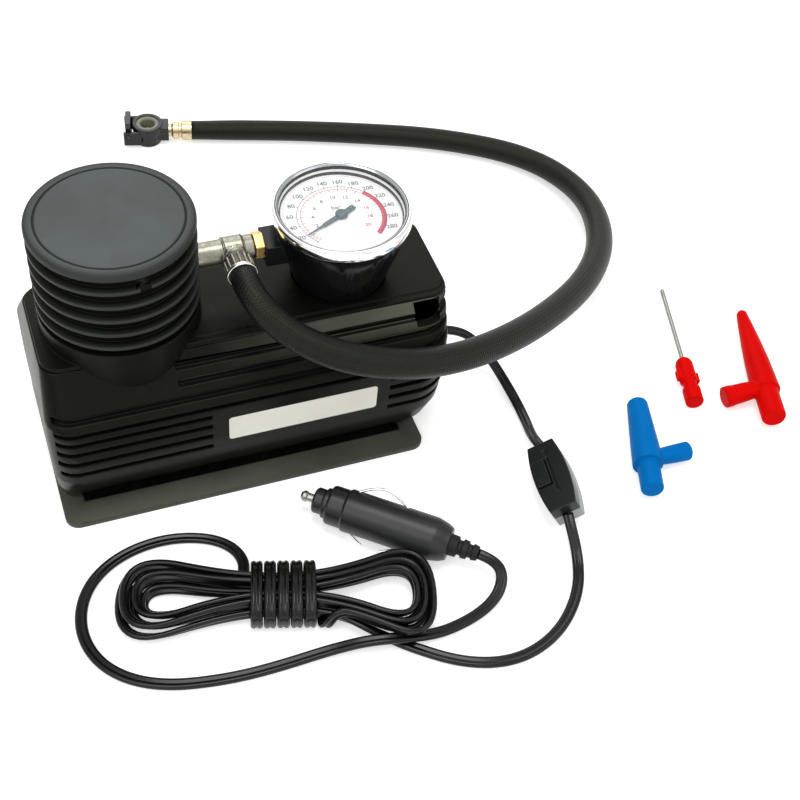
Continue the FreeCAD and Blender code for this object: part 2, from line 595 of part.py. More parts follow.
width = num("gear_width")
gear_bottom = -math.pi / 2
wheel = gear_face(num("gear_teeth"), num("gear_module"), num("mesh_backlash"), gear_bottom)
wheel = wheel.extrude(Vector(width, 0, 0))
clip_x = width + num("frame_thickness + bearing_boss_length + 2.3")
clip = Part.makeCylinder(num("gear_clip_radius"), 1.0, Vector(clip_x, 0, 0), Vector(1, 0, 0))
shaft = Part.makeCylinder(num("gear_shaft_radius"), clip_x - width + 1.0,
                          Vector(width, 0, 0), Vector(1, 0, 0))
drive = feature("drive_gear", wheel.fuse([shaft, clip]).removeSplitter())
put(drive, "-gear_left", "0", "gear_level")
node("drive_gear", drive)
small = gear_face(num("pinion_teeth"), num("gear_module"), num("mesh_backlash"),
                  math.pi / 2 + math.pi / num("pinion_teeth"))
small = small.extrude(Vector(width + 0.6, 0, 0))
bore = Part.makeCylinder(num("motor_shaft_radius"), width + 4, Vector(-1, 0, 0), Vector(1, 0, 0))
pinion = feature("pinion", small.cut(bore))
put(pinion, "-gear_left - 0.3", "0", "motor_level")
node("pinion", pinion)

# Connecting rod with its crank pin and piston, at the bottom of the stroke.
pin_level = "gear_level - crank_throw"
rod_eye = cylinder("rod_eye", "rod_eye_radius", "rod_thickness", "-rod_left", "0", pin_level,
                   (1, 0, 0))
rod_bar = box("rod_bar", "rod_thickness", "rod_half_width * 2",
              "piston_bottom - gear_level + crank_throw + 1", "-rod_left", "-rod_half_width",
              pin_level)
crank_pin = cylinder("crank_pin", "crank_pin_radius",
                     "rod_left - gear_left - crank_pin_gap", "-rod_left", "0", pin_level,
                     (1, 0, 0))
piston = cylinder("piston_head", "piston_radius", "piston_height - seal_height", "-tower_x",
                  "0", "piston_bottom")
node("piston_rod", fuse("piston_rod", rod_eye, rod_bar, crank_pin, piston))
node("piston_seal", cylinder("piston_seal", "cylinder_bore - shaft_clearance", "seal_height",
                             "-tower_x", "0", "piston_bottom + piston_height - seal_height"))

# Outlet tube with its side branch, ferrule and nut.
tube_left = "-tower_x + head_radius"
tube_run = cylinder("tube_run", "outlet_radius", "outlet_right + tower_x - head_radius",
                    tube_left, "0", "outlet_level", (1, 0, 0))
tube_branch = cylinder("tube_branch", "branch_radius", "branch_length", "branch_x", "0",
                       "outlet_level", (0, -1, 0))
tube_collar = cylinder("tube_collar", "outlet_radius + 0.7", "9", "branch_x - 4.5", "0",
                       "outlet_level", (1, 0, 0))
tube_bores = fuse("tube_bores", cylinder(
    "tube_bore", "outlet_bore", "80", "-tower_x", "0", "outlet_level", (1, 0, 0)), cylinder(
    "branch_bore", "outlet_bore - 0.4", "branch_length + 5", "branch_x", "0", "outlet_level",
    (0, -1, 0)))
node("outlet_tube", cut("outlet_tube", fuse("tube_whole", tube_run, tube_branch, tube_collar),
                        tube_bores))
ferrule = revolved("ferrule_turned", [
    ("outlet_bore", "0"), ("ferrule_radius - 0.5", "0"), ("ferrule_radius", "0.7"),
    ("ferrule_radius", "2.4"), ("ferrule_radius - 0.7", "3.2"), ("ferrule_radius - 0.7", "4.4"),
    ("ferrule_radius", "5.2"), ("ferrule_radius", "7.4"), ("ferrule_radius - 0.7", "8.2"),
    ("ferrule_radius - 0.7", "9"), ("ferrule_radius", "ferrule_length"),
    ("outlet_bore", "ferrule_length"),
], "branch_x", "-branch_length", "outlet_level", (0, -1, 0))
node("hose_ferrule", ferrule)
nut = cut("gauge_nut", prism("nut_blank", 6, "nut_radius", "nut_length", "outlet_right", "0",
                             "outlet_level", (1, 0, 0)),
          cylinder("nut_bore", "outlet_bore", "nut_length + 2", "outlet_right - 1", "0",
                   "outlet_level", (1, 0, 0)))
node("gauge_nut", nut)

# Gauge: can with its stem block, movement, dial, pointer, lens and bezel.
can_shell = revolved("can_shell", [
    ("0", "gauge_bottom"), ("gauge_foot_radius", "gauge_bottom"),
    ("gauge_foot_radius", "deck_level + 2"), ("gauge_radius", "bezel_bottom - 8"),
    ("gauge_radius", "bezel_bottom"), ("gauge_radius - gauge_wall", "bezel_bottom"),
    ("gauge_radius - gauge_wall", "bezel_bottom - 8"),
    ("gauge_foot_radius", "gauge_floor"), ("0", "gauge_floor"),
], "gauge_x")
stem_block = box("stem_block", "gauge_x - outlet_right - nut_length - gauge_radius + 4.6",
                 "stem_half * 2", "stem_half + 3.5",
                 "outlet_right + nut_length",
                 "-stem_half", "outlet_level - stem_half")
stem_bore = cylinder("stem_bore", "outlet_bore", "20", "outlet_right + nut_length - 1", "0",
                     "outlet_level", (1, 0, 0))
hollow_can = cylinder("hollow_can", "gauge_radius - gauge_wall - 2.6", "20", "gauge_x", "0",
                      "outlet_level - stem_half - 0.5")
node("gauge_can", cut("gauge_can", fuse("can_whole", can_shell, stem_block),
                      fuse("can_cuts", stem_bore, hollow_can)))
node("gauge_movement", revolved("gauge_movement", [
    ("0", "gauge_floor"), ("movement_radius", "gauge_floor"),
    ("movement_radius", "dial_level - movement_gap"),
    ("pointer_shaft + pointer_clearance", "dial_level - movement_gap"),
    ("pointer_shaft + pointer_clearance", "dial_level - movement_gap - 7"),
    ("0", "dial_level - movement_gap - 7"),
], "gauge_x"))
node("gauge_dial", revolved("gauge_dial", [
    ("dial_hole", "dial_level"), ("dial_radius", "dial_level"),
    ("dial_radius", "dial_level + dial_thickness"), ("dial_hole", "dial_level + dial_thickness"),
], "gauge_x"))
node("gauge_bezel", revolved("gauge_bezel", [
    ("gauge_radius + gauge_clearance", "bezel_bottom - 1.1"), ("bezel_radius", "bezel_bottom - 1.1"),
    ("bezel_radius", "bezel_top - 2.4"), ("bezel_radius - 0.6", "bezel_top - 0.9"),
    ("bezel_radius - 1.7", "bezel_top"), ("bezel_bore", "bezel_top - 0.6"),
    ("bezel_bore", "lens_bottom + lens_thickness"), ("lens_radius", "lens_bottom + lens_thickness"),
    ("lens_radius", "lens_bottom"), ("bezel_bore", "lens_bottom"), ("bezel_bore", "bezel_bottom"),
    ("gauge_radius + gauge_clearance", "bezel_bottom"),
], "gauge_x"))
node("gauge_lens", revolved("gauge_lens", [
    ("0", "lens_bottom"), ("lens_radius", "lens_bottom"),
    ("lens_radius", "lens_bottom + lens_thickness"), ("0", "lens_bottom + lens_thickness"),
], "gauge_x"))
needle_hub_disc = cylinder("pointer_hub_disc", "pointer_hub", "pointer_thickness + 0.6",
                           "0", "0", "pointer_level")
pointer_axle = cylinder("pointer_axle", "pointer_shaft", "pointer_level - dial_level + 6",
                        "0", "0", "dial_level - 6")
pointer_blade = doc.addObject("Part::Wedge", "pointer_blade")
for prop, text in (("Xmin", "0"), ("Ymin", "0"), ("Zmin", "0"), ("X2min", "0.7"), ("Z2min", "0"),
                   ("Xmax", "2.2"), ("Ymax", "pointer_length"), ("Zmax", "pointer_thickness"),
                   ("X2max", "1.5"), ("Z2max", "pointer_thickness")):
    bind(pointer_blade, prop, text)
put(pointer_blade, "-1.1", "0", "pointer_level")
pointer_back = box("pointer_back", "2.2", "pointer_tail", "pointer_thickness", "-1.1",
                   "-pointer_tail", "pointer_level")
pointer = fuse("gauge_pointer", needle_hub_disc, pointer_axle, pointer_blade, pointer_back)
put(pointer, "gauge_x", "0", "0", Rotation(Vector(0, 0, 1), 117))
node("gauge_pointer", pointer)

# Tubes: straight runs joined by tangent arcs, each arc as large as its runs let it.

def tube_path(points, share=0.45, fixed=None, label=None):
    """The wire through a route's corners, and the corners' radii."""
    corners = [Vector(*p) for p in points]
    edges, radii = [], []
    last = corners[0]
    for i in range(1, len(corners) - 1):
        a, b, c = corners[i - 1], corners[i], corners[i + 1]
        inward, outward = (b - a), (c - b)
        half = inward.getAngle(outward) / 2
        reach = share * min(inward.Length, outward.Length)
        if fixed:
            reach = min(reach, fixed[i] * math.tan(half)) if fixed[i] else reach
        radius = reach / math.tan(half)
        radii.append(radius)
        inward.normalize()
        outward.normalize()
        begin, finish = b - inward * reach, b + outward * reach
        centre_way = (outward - inward).normalize()
        centre = b + centre_way * (radius / math.cos(half))
        middle = centre - centre_way * radius
        if (begin - last).Length > 1e-4:
            edges.append(Part.LineSegment(last, begin).toShape())
        edges.append(Part.Arc(begin, middle, finish).toShape())
        last = finish
    edges.append(Part.LineSegment(last, corners[-1]).toShape())
    wire = Part.Wire(edges)
    if label:
        print("%s: length %.1f, radii %s" % (label, wire.Length, " ".join("%.0f" % r for r in radii)))
    return wire


def section(kind, start, heading, side=None):
    """A closed section wire at the tube's start, across its heading."""
    heading = Vector(*heading).normalize()
    if kind[0] == "round":
        circle = Part.Circle(start, heading, kind[1])
        return Part.Wire([circle.toShape()])
    flat = Vector(*side) if side else heading.cross(Vector(0, 0, 1))
    flat.normalize()
    rise = flat.cross(heading).normalize()
    corners = [start + flat * u + rise * v for u, v in kind[1]]
    return Part.makePolygon(corners + corners[:1])


def hexagon(wide, high):
    """A cord's section with its pointed edges at the sides."""
    return ("shape", [(wide / 2, 0), (wide * 0.27, high / 2), (-wide * 0.27, high / 2),
                      (-wide / 2, 0), (-wide * 0.27, -high / 2), (wide * 0.27, -high / 2)])


def standing(wide, high):
    """The same section standing on its edge."""
    return ("shape", [(0, high / 2), (-wide / 2, high * 0.27), (-wide / 2, -high * 0.27),
                      (0, -high / 2), (wide / 2, -high * 0.27), (wide / 2, high * 0.27)])


def area(kind):
    if kind[0] == "round":
        return math.pi * kind[1] ** 2
    points = kind[1]
    total = 0.0
    for i in range(len(points)):
        (x1, y1), (x2, y2) = points[i], points[(i + 1) % len(points)]
        total += x1 * y2 - x2 * y1
    return abs(total) / 2


def tube(label, points, kind, side=None, share=0.45, fixed=None):
    """A solid swept along a route, its volume compared with section times length."""
    wire = tube_path(points, share, fixed, label)
    heading = Vector(*points[1]) - Vector(*points[0])
    shell = Part.BRepOffsetAPI.MakePipeShell(wire)
    shell.add(section(kind, Vector(*points[0]), tuple(heading), side))
    shell.setTransitionMode(1)
    shell.build()
    shell.makeSolid()
    solid = shell.shape()
    expected = area(kind) * wire.Length
    print("%s: volume %.0f of %.0f" % (label, solid.Volume, expected))
    if abs(solid.Volume - expected) > 0.05 * expected:
        raise ValueError("tube volume off: " + label)
    return solid, wire


HOSE = [
    (5.0, -17.3, 110.0), (5.0, -26.0, 110.0), (10.5, -37.0, 102.5), (24.4, -47.2, 91.8),
    (46.7, -54.5, 81.2), (77.9, -56.8, 71.2), (114.9, -46.6, 59.3), (158.8, -23.3, 44.6),
    (204.0, 11.0, 29.5), (234.0, 51.0, 18.0), (245.5, 97.0, 9.5), (228.5, 139.0, 7.0),
    (184.0, 169.0, 6.8), (128.0, 189.5, 6.8), (79.0, 204.5, 6.8), (36.9, 214.6, 6.9),
]
hose_solid, hose_wire = tube("hose", HOSE, ("round", num("hose_radius")))
node("hose", feature("hose", hose_solid))
hose_end = Vector(*HOSE[-1])
hose_way = (hose_end - Vector(*HOSE[-2])).normalize()
hose_turn = Rotation(Vector(0, 0, 1), hose_way)


def riding(label, item, base, rotation):
    """Give a finished piece its resting place on the hose's or cord's end."""
    item.Placement = Placement(base, rotation)
    return node(label, item)


fitting = revolved("hose_end_fitting", [
    ("0", "0"), ("fitting_radius + 0.6", "0"), ("fitting_radius + 0.6", "5.4"),
    ("fitting_radius - 0.6", "6.2"), ("fitting_radius - 0.6", "7.4"),
    ("fitting_radius", "8"), ("fitting_radius", "11"), ("fitting_neck", "12"),
    ("fitting_neck", "fitting_length"), ("0", "fitting_length"),
])
riding("hose_end_fitting", fitting, hose_end, hose_turn)

# Chuck: its own X axis runs on from the hose, its Z axis is up.
flat_way = Vector(hose_way.x, hose_way.y, 0).normalize()
chuck_turn = Rotation(Vector(1, 0, 0), flat_way)
chuck_spot = Vector(hose_end.x, hose_end.y, 0) + flat_way * (num("fitting_length") + 12.4)
neck = box("chuck_neck", "6.6", "chuck_block * 2", "chuck_block * 2 - 1.4", "-12.4", "-chuck_block",
           "chuck_level - chuck_block + 0.2")
barrel = cylinder("chuck_barrel", "chuck_radius - 1", "chuck_height", "0", "0", "chuck_bottom")
cup = cylinder("chuck_cup", "chuck_radius", "5", "0", "0", "chuck_bottom + chuck_height - 5")
arm_a = box("chuck_arm_a", "lever_x - 1.2", "2.2", "9", "4", "-lever_width / 2 - 2.4",
            "chuck_bottom + 2")
arm_b = box("chuck_arm_b", "lever_x - 1.2", "2.2", "9", "4", "lever_width / 2 + 0.2",
            "chuck_bottom + 2")
chuck_pin_hole = cylinder("chuck_pin_hole", "lever_pin_radius + lever_clearance",
                          "lever_width + 10", "lever_x", "-lever_width / 2 - 5",
                          "chuck_bottom + 8", (0, 1, 0))
chuck_well = cylinder("chuck_well", "chuck_bore", "20", "0", "0", "chuck_bore_floor")
chuck_body = cut("chuck_body", fuse("chuck_whole", neck, barrel, cup, arm_a, arm_b),
                 fuse("chuck_cuts", chuck_pin_hole, chuck_well))
riding("chuck_body", chuck_body, chuck_spot, chuck_turn)
seal = revolved("chuck_seal", [
    ("seal_bore", "chuck_bore_floor"), ("chuck_bore", "chuck_bore_floor"),
    ("chuck_bore", "chuck_bottom + chuck_height - 0.6"),
    ("seal_bore + 0.5", "chuck_bottom + chuck_height - 0.6"),
    ("seal_bore", "chuck_bottom + chuck_height - 1.4"),
])
riding("chuck_seal", seal, chuck_spot, chuck_turn)
pin = revolved("chuck_pin", [
    ("0", "chuck_bore_floor"), ("seal_bore - 0.6", "chuck_bore_floor"),
    ("seal_bore - 0.6", "chuck_bore_floor + 0.8"), ("chuck_pin_radius", "chuck_bore_floor + 0.8"),
    ("chuck_pin_radius", "chuck_bore_floor + 2.4"), ("0", "chuck_bore_floor + 2.4"),
])
riding("chuck_pin", pin, chuck_spot, chuck_turn)
lever_eye = cylinder("lever_eye", "1.9", "lever_width - 0.4", "lever_x", "-lever_width / 2 + 0.2",
                     "chuck_bottom + 8", (0, 1, 0))
lever_axle = cylinder("lever_axle", "lever_pin_radius", "lever_width + 4.8", "lever_x",
                      "-lever_width / 2 - 2.4", "chuck_bottom + 8", (0, 1, 0))
lever_slab = box("lever_slab", "lever_thickness", "lever_width - 0.4", "lever_length",
                 "lever_x - 1.5", "-lever_width / 2 + 0.2", "chuck_bottom + 8 - 1.2")
lever = fuse("chuck_lever", lever_eye, lever_axle, lever_slab)
riding("chuck_lever", lever, chuck_spot, chuck_turn)
print("chuck at", [round(v, 3) for v in chuck_spot], "way", [round(v, 5) for v in flat_way])

# Gland on the housing's right end, where the cord comes out.
gland = revolved("cord_gland", [
    ("0", "-8"), ("gland_radius", "-8"), ("gland_radius", "0"), ("gland_flange", "0"),
    ("gland_flange", "2.2"), ("gland_radius - 0.8", "3"), ("gland_radius - 0.8", "5"),
    ("gland_radius - 1.6", "5.8"), ("gland_radius - 1.6", "7"), ("gland_radius - 1", "7.8"),
    ("gland_radius - 1.6", "8.6"), ("gland_radius - 1.6", "10"), ("gland_radius - 1.2", "10.8"),
    ("gland_radius - 2.2", "gland_length"), ("0", "gland_length"),
], "body_right - 0.4", "0", "gland_level", (1, 0, 0))
node("cord_gland", gland)

FLAT = hexagon(num("cord_width"), num("cord_thickness"))
EDGE = standing(num("cord_thickness"), num("cord_width"))
gland_end = num("body_right - 0.4 + gland_length")
LEAD = [
    (gland_end, 0.0, 27.0), (123.5, -1.0, 25.6), (132.5, -5.6, 19.6), (139.3, -14.2, 11.2),
    (143.4, -26.5, 4.6), (145.0, -40.0, 1.7), (144.0, -52.5, 2.6), (141.9, -61.4, 5.6),
    (140.7, -69.2, 9.2), (141.43, -77.05, 10.93),
]
lead_solid, lead_wire = tube("cord_lead", LEAD, FLAT)
node("cord_lead", feature("cord_lead", lead_solid))

# Inline switch: two halves of a lens-shaped case and a rocker.
switch_way = Vector(-4.83, -38.75, 0).normalize()
switch_turn = Rotation(Vector(1, 0, 0), switch_way)
switch_turn = switch_turn.multiply(Rotation(Vector(1, 0, 0), num("switch_roll")))
switch_middle = Vector(139.015, -96.425, 10.93)
switch_spot = switch_middle - switch_turn.multVec(Vector(0, 0, num("switch_height / 2")))
print("switch at", [round(v, 3) for v in switch_spot], switch_turn.multVec(Vector(0, 1, 0)))
sag = "((switch_width - switch_end_width) / 2)"
bow = "((switch_length ^ 2 / 4 + %s ^ 2) / (2 * %s))" % (sag, sag)
halves = []
for part, low in (("lower", "0"), ("upper", "switch_height / 2")):
    block = box("case_box_" + part, "switch_length", "switch_width", "switch_height / 2",
                "-switch_length / 2", "-switch_width / 2", low)
    near = cylinder("case_near_" + part, bow, "switch_height", "0",
                    bow + " - switch_width / 2", "-1")
    far = cylinder("case_far_" + part, bow, "switch_height + 20", "0",
                   "switch_width / 2 - " + bow, "-1")
    halves.append((block, near, far))
bind(halves[0][1], "Height", "switch_height + 20")
bind(halves[1][1], "Height", "switch_height + 20")
riding("switch_lower", common("switch_lower", *halves[0]), switch_spot, switch_turn)
rocker_y = "-switch_width / 2 + 1.3 + rocker_clearance"
pit = box("rocker_pit", "rocker_length + 2 * rocker_clearance",
          "rocker_width + 2 * rocker_clearance", "8",
          "-rocker_length / 2 - rocker_clearance - rocker_shift",
          rocker_y + " - rocker_clearance", "switch_height - 4")
pit_pin = cylinder("pit_pin", "rocker_pin_radius + 0.05", "rocker_width + 2", "-rocker_shift",
                   rocker_y + " - 1", "switch_height - 2", (0, 1, 0))
seam = box("switch_seam", "20", "0.7", "1.5", "-10.6", "0.5", "switch_height - 0.5")
dots = [cylinder("switch_dot_%d" % i, radius, "3", place, "0.8", "switch_height - 1.2")
        for i, (place, radius) in enumerate((("-13.6", "1.2"), ("9.6", "0.9")))]
upper = cut("switch_upper", common("switch_top", *halves[1]),
            fuse("switch_cuts", pit, pit_pin, seam, *dots))
riding("switch_upper", upper, switch_spot, switch_turn)
rocker = fuse("switch_rocker", box(
    "rocker_block", "rocker_length", "rocker_width", "4", "-rocker_length / 2 - rocker_shift",
    rocker_y, "switch_height - 2.8"), cylinder(
    "rocker_axle", "rocker_pin_radius", "rocker_width + 1.4", "-rocker_shift", rocker_y + " - 0.7",
    "switch_height - 2", (0, 1, 0)))
riding("switch_rocker", rocker, switch_spot, switch_turn)

# The hank's own frame: its length direction, its cross direction and its middle.
HANK_CENTRE = Vector(-8.0, -116.5, 0)
HANK_WAY = Vector(0.961, -0.276, 0).normalize()
HANK_CROSS = Vector(-HANK_WAY.y, HANK_WAY.x, 0)


def hank_point(along, across, z):
    spot = HANK_CENTRE + HANK_WAY * along + HANK_CROSS * across
    return (spot.x, spot.y, z)


# Each loop has eight corners. Their inset from the outermost loop grows by one
# step per loop, inward on the low layer and outward again on the high one.
STEP, WAIST, LOBE, REACH = (num("hank_step"), num("hank_waist"), num("hank_lobe_corner"),
                            num("hank_reach"))
WAIST_RIGHT, WAIST_LEFT = 23.0, 17.0
HALFWAY = 20
slope_right = math.atan((LOBE - WAIST) / (REACH - WAIST_RIGHT))
slope_left = math.atan((LOBE - WAIST) / (REACH - WAIST_LEFT))
hank, hank_radii = [hank_point(38.0, -WAIST - (38.0 - WAIST_RIGHT) * math.tan(slope_right),
                               num("hank_low_level"))], [0]
for k in range(2 * HALFWAY):
    inset = STEP * min(k, 2 * HALFWAY - k) / 8.0
    corner = k % 8
    right = corner in (0, 5, 6, 7)
    lobe = corner in (2, 3, 6, 7)
    sign = 1 if corner in (3, 4, 5, 6) else -1
    slope = slope_right if right else slope_left
    if lobe:
        along = REACH - inset
        across = LOBE - inset * (math.tan(slope) + 1 / math.cos(slope))
        radius = num("hank_lobe_radius") - inset
    else:
        along = (WAIST_RIGHT if right else WAIST_LEFT) + inset * math.tan(slope / 2)
        across = WAIST - inset
        radius = num("hank_waist_radius")
    level = num("hank_low_level") if k <= HALFWAY else num("hank_high_level")
    hank.append(hank_point(along if right else -along, sign * across, level))
    hank_radii.append(radius)
side_half = num("wrap_half")
hank.append(hank_point(33.5, -side_half, num("hank_high_level")))
hank_radii.append(16.0)
hank.append(hank_point(27.0, -side_half, num("hank_high_level")))
hank_radii.append(0)
hank_solid, hank_wire = tube("cord_hank", hank, EDGE, None, 0.48, hank_radii)
node("cord_hank", feature("cord_hank", hank_solid))

# Wrap: the same cord wound round the hank's waist, each turn stepping along in
# its run under the hank, and leaving under it at the back.
PITCH, TOP, LOW = num("wrap_pitch"), num("wrap_top"), 1.4
wrap = [(27.0, -side_half, num("hank_high_level")), (20.9, -side_half, num("hank_high_level"))]
wrap_radii = [0, 4.3]
place_x = 20.9
for lap in range(6):
    wrap += [(place_x, -side_half, LOW), (place_x, -6.0, LOW), (place_x - PITCH, 6.0, LOW)]
    wrap_radii += [3.5, 15.0, 15.0]
    place_x -= PITCH
    if lap < 5:
        wrap += [(place_x, side_half, LOW), (place_x, side_half, TOP), (place_x, -side_half, TOP)]
        wrap_radii += [3.5, 3.5, 3.5]
wrap.append((place_x, side_half + 1.0, LOW))
wrap_radii.append(0)
wrap = [hank_point(*p) for p in wrap]
wrap_solid, wrap_wire = tube("cord_wrap", wrap, EDGE, None, 0.499, wrap_radii)
node("cord_wrap", feature("cord_wrap", wrap_solid))


def least_gap(wire, apart, step=1.5):
    """The least distance between points of one path that lie far apart along it."""
    count = int(wire.Length / step)
    points = wire.discretize(Number=count)
    least = 1e9
    skip = int(apart / step)
    for i in range(0, len(points), 1):
        a = points[i]
        for j in range(i + skip, len(points)):
            b = points[j]
            flat_gap = math.hypot(a.x - b.x, a.y - b.y)
            if abs(a.z - b.z) < 3.0 and flat_gap < least:
                least = flat_gap
    return least


print("hank: least sideways spacing %.2f" % least_gap(hank_wire, 60))
print("wrap: least sideways spacing %.2f" % least_gap(wrap_wire, 40))

MID = [
    (136.6, -115.8, 10.93), (135.7, -123.2, 8.6), (135.2, -130.8, 4.6), (133.2, -139.2, 1.8),
    (129.0, -148.6, 1.4),
    (121.8, -158.4, 1.4), (111.5, -167.6, 1.4), (99.3, -173.8, 1.4), (86.2, -176.4, 1.4),
    (72.6, -174.7, 1.4), (59.2, -168.9, 1.4), (47.4, -160.4, 1.4), (36.0, -151.4, 1.9), hank[0],
]
mid_solid, mid_wire = tube("cord_mid", MID, FLAT)
node("cord_mid", feature("cord_mid", mid_solid))
tail_start = wrap[-1]
TAIL = [
    tail_start, (-16.0, -91.0, 1.4), (-18.6, -82.6, 1.4), (-25.8, -75.6, 1.4),
    (-36.6, -71.0, 1.4), (-49.0, -68.9, 1.4), (-63.0, -70.2, 1.4), (-76.6, -75.6, 1.4),
    (-87.0, -84.9, 1.4), (-93.0, -97.6, 1.4), (-93.8, -111.8, 1.4), (-88.8, -125.4, 1.4),
    (-78.6, -136.0, 1.4), (-64.6, -143.0, 1.4), (-48.0, -146.6, 1.4), (-30.0, -148.4, 1.4),
    (-11.5, -148.3, 1.5), (7.0, -147.8, 2.2), (23.5, -150.6, 6.6), (39.5, -153.8, 6.0),
    (56.0, -154.4, 2.4), (71.3, -151.8, 1.5), (83.6, -147.6, 1.9), (92.0, -141.6, 3.8),
    (95.2, -134.4, 7.2), (91.6, -128.4, 10.0), (86.75, -124.4, 10.4),
]
tail_solid, tail_wire = tube("cord_tail", TAIL, FLAT)
node("cord_tail", feature("cord_tail", tail_solid))
print("cord in all: %.0f" % sum(w.Length for w in (lead_wire, mid_wire, hank_wire, wrap_wire,
                                                   tail_wire)))

# Socket plug lying on the surface: its own Z axis runs from the relief to the tip.
plug_way = Vector(-0.774, 0.633, 0).normalize()
plug_turn = Rotation(Vector(0, 0, 1), plug_way)
plug_spot = Vector(86.75, -124.4, num("plug_radius"))
relief = revolved("plug_relief", [
    ("0", "0"), ("relief_radius - 1.8", "0"), ("relief_radius - 1.2", "2.6"),
    ("relief_radius - 2", "3.2"), ("relief_radius - 2", "4.6"), ("relief_radius - 0.8", "5.2"),
    ("relief_radius - 0.6", "7.6"), ("relief_radius - 1.6", "8.2"),
    ("relief_radius - 1.6", "9.6"), ("relief_radius - 0.2", "10.2"),
    ("relief_radius", "relief_length"), ("0", "relief_length"),
])
riding("plug_relief", relief, plug_spot, plug_turn)
body_top = "relief_length + plug_length"
plug_body = revolved("plug_body", [
    ("0", "relief_length"), ("plug_radius - 2.6", "relief_length"),
    ("plug_radius - 1.2", "relief_length + 3"), ("plug_radius", "relief_length + 8"),
    ("plug_radius", body_top + " - 9"), ("plug_radius - 0.9", body_top + " - 8.2"),
    ("plug_radius - 0.9", body_top + " - 1"), ("plug_radius - 1.6", body_top),
    ("0", body_top),
])
riding("plug_body", plug_body, plug_spot, plug_turn)
nose_top = body_top + " + plug_nose_length"
nose = revolved("plug_nose", [
    ("0", body_top), ("plug_nose_radius", body_top), ("plug_nose_radius", body_top + " + 2"),
    ("plug_nose_radius - 1.2", body_top + " + 2.6"), ("plug_nose_radius - 1.2", nose_top + " - 1"),
    ("plug_nose_radius - 2.2", nose_top), ("plug_tip_radius + plug_tip_clearance", nose_top),
    ("plug_tip_radius + plug_tip_clearance", body_top + " + 1"), ("0", body_top + " + 1"),
])
riding("plug_nose", nose, plug_spot, plug_turn)
tip = revolved("plug_tip", [
    ("0", nose_top + " - 3.4"), ("plug_tip_radius", nose_top + " - 3.4"),
    ("plug_tip_radius", nose_top + " + plug_tip_out - 3.4"),
    ("plug_tip_ball", nose_top + " + plug_tip_out - 2.6"),
    ("plug_tip_ball", nose_top + " + plug_tip_out - 1.2"),
    ("plug_tip_ball - 1", nose_top + " + plug_tip_out"), ("0", nose_top + " + plug_tip_out"),
])
riding("plug_tip", tip, plug_spot, plug_turn)
level_top = num(body_top)
for mark, sign in (("front", -1), ("back", 1)):
    out = num("plug_radius")
    strip = [
        (sign * (out - 3.4), 0, level_top - 41), (sign * (out - 0.4), 0, level_top - 37),
        (sign * (out + 3.2), 0, level_top - 31), (sign * (out + 5.2), 0, level_top - 24.5),
        (sign * (out + 3.2), 0, level_top - 18), (sign * (out - 0.4), 0, level_top - 12),
        (sign * (out - 3.4), 0, level_top - 8),
    ]
    wire_solid, wire_path = tube("plug_contact_" + mark, strip, ("round", num("contact_radius")),
                                 None, 0.45)
    riding("plug_contact_" + mark, feature("plug_contact_" + mark, wire_solid), plug_spot,
           plug_turn)

# Ball needle: a steel tube in a small hub.
needle_base, needle_joint = Vector(234.27, -66.15, 5.0), Vector(242.5, -36.3, 4.75)
needle_tip = Vector(258.7, 18.4, 1.7)
hub_way = needle_joint - needle_base
hub = revolved("needle_hub_turned", [
    ("0", "0"), ("4.3", "0"), ("4.8", "0.6"), ("4.8", "9.2"), ("3.6", "10.4"), ("3.6", "13.6"),
    ("needle_hub_radius", "15"), ("needle_hub_radius", "27"), ("needle_hub_radius - 0.7", "29"),
    ("needle_hub_radius - 2", "30.4"), ("1.6", "31"), ("0", "31"),
])
wing = box("needle_wing", "12.6", "3.4", "6.2", "-6.3", "-1.7", "15")
hub_whole = fuse("needle_hub", hub, wing)
riding("needle_hub", hub_whole, needle_base, Rotation(Vector(0, 0, 1), hub_way))
stem_way = needle_tip - needle_joint
needle = revolved("needle_tube", [
    ("0", "0"), ("needle_radius", "0"), ("needle_radius", "needle_length - 2"),
    ("needle_radius * 0.6", "needle_length - 0.6"), ("0", "needle_length"),
])
riding("needle_tube", needle, needle_joint, Rotation(Vector(0, 0, 1), stem_way))


def lying(name, points, base, tip_point):
    item = revolved(name, points)
    item.Placement = Placement(base, Rotation(Vector(0, 0, 1), tip_point - base))
    return item


# Cone nozzles, each with a short side stub.
red_base, red_tip = Vector(266.93, -90.23, 9.35), Vector(292.68, -12.19, 3.9)
red_cone = lying("red_cone", [
    ("0", "0"), ("5.6", "0"), ("6.3", "0.9"), ("6.3", "19"), ("red_radius", "19.3"),
    ("red_radius - 0.4", "29"), ("red_radius - 1", "41"), ("red_radius - 2.1", "55"),
    ("red_radius - 3.6", "70.5"), ("2.9", "red_length - 2.2"), ("1.8", "red_length - 0.5"),
    ("0", "red_length"),
], red_base, red_tip)
red_stub = lying("red_stub", [
    ("0", "0"), ("stub_radius - 1.3", "0"), ("stub_radius - 0.5", "9"), ("stub_radius - 0.3", "15"),
    ("stub_radius", "15.6"), ("stub_radius", "19.4"), ("stub_radius - 0.5", "19.8"), ("0", "19.8"),
], Vector(269.9, -69.0, 8.5), Vector(250.3, -68.0, 6.1))
node("cone_nozzle_red", fuse("cone_nozzle_red", red_cone, red_stub))
blue_base, blue_tip = Vector(184.17, -113.46, 8.85), Vector(203.89, -58.2, 5.55)
blue_cone = lying("blue_cone", [
    ("0", "0"), ("5.1", "0"), ("5.7", "0.8"), ("5.7", "16"), ("blue_radius", "16.3"),
    ("blue_radius - 0.6", "29"), ("blue_radius - 2.4", "blue_length - 1.2"),
    ("blue_radius - 3", "blue_length"), ("0", "blue_length"),
], blue_base, blue_tip)
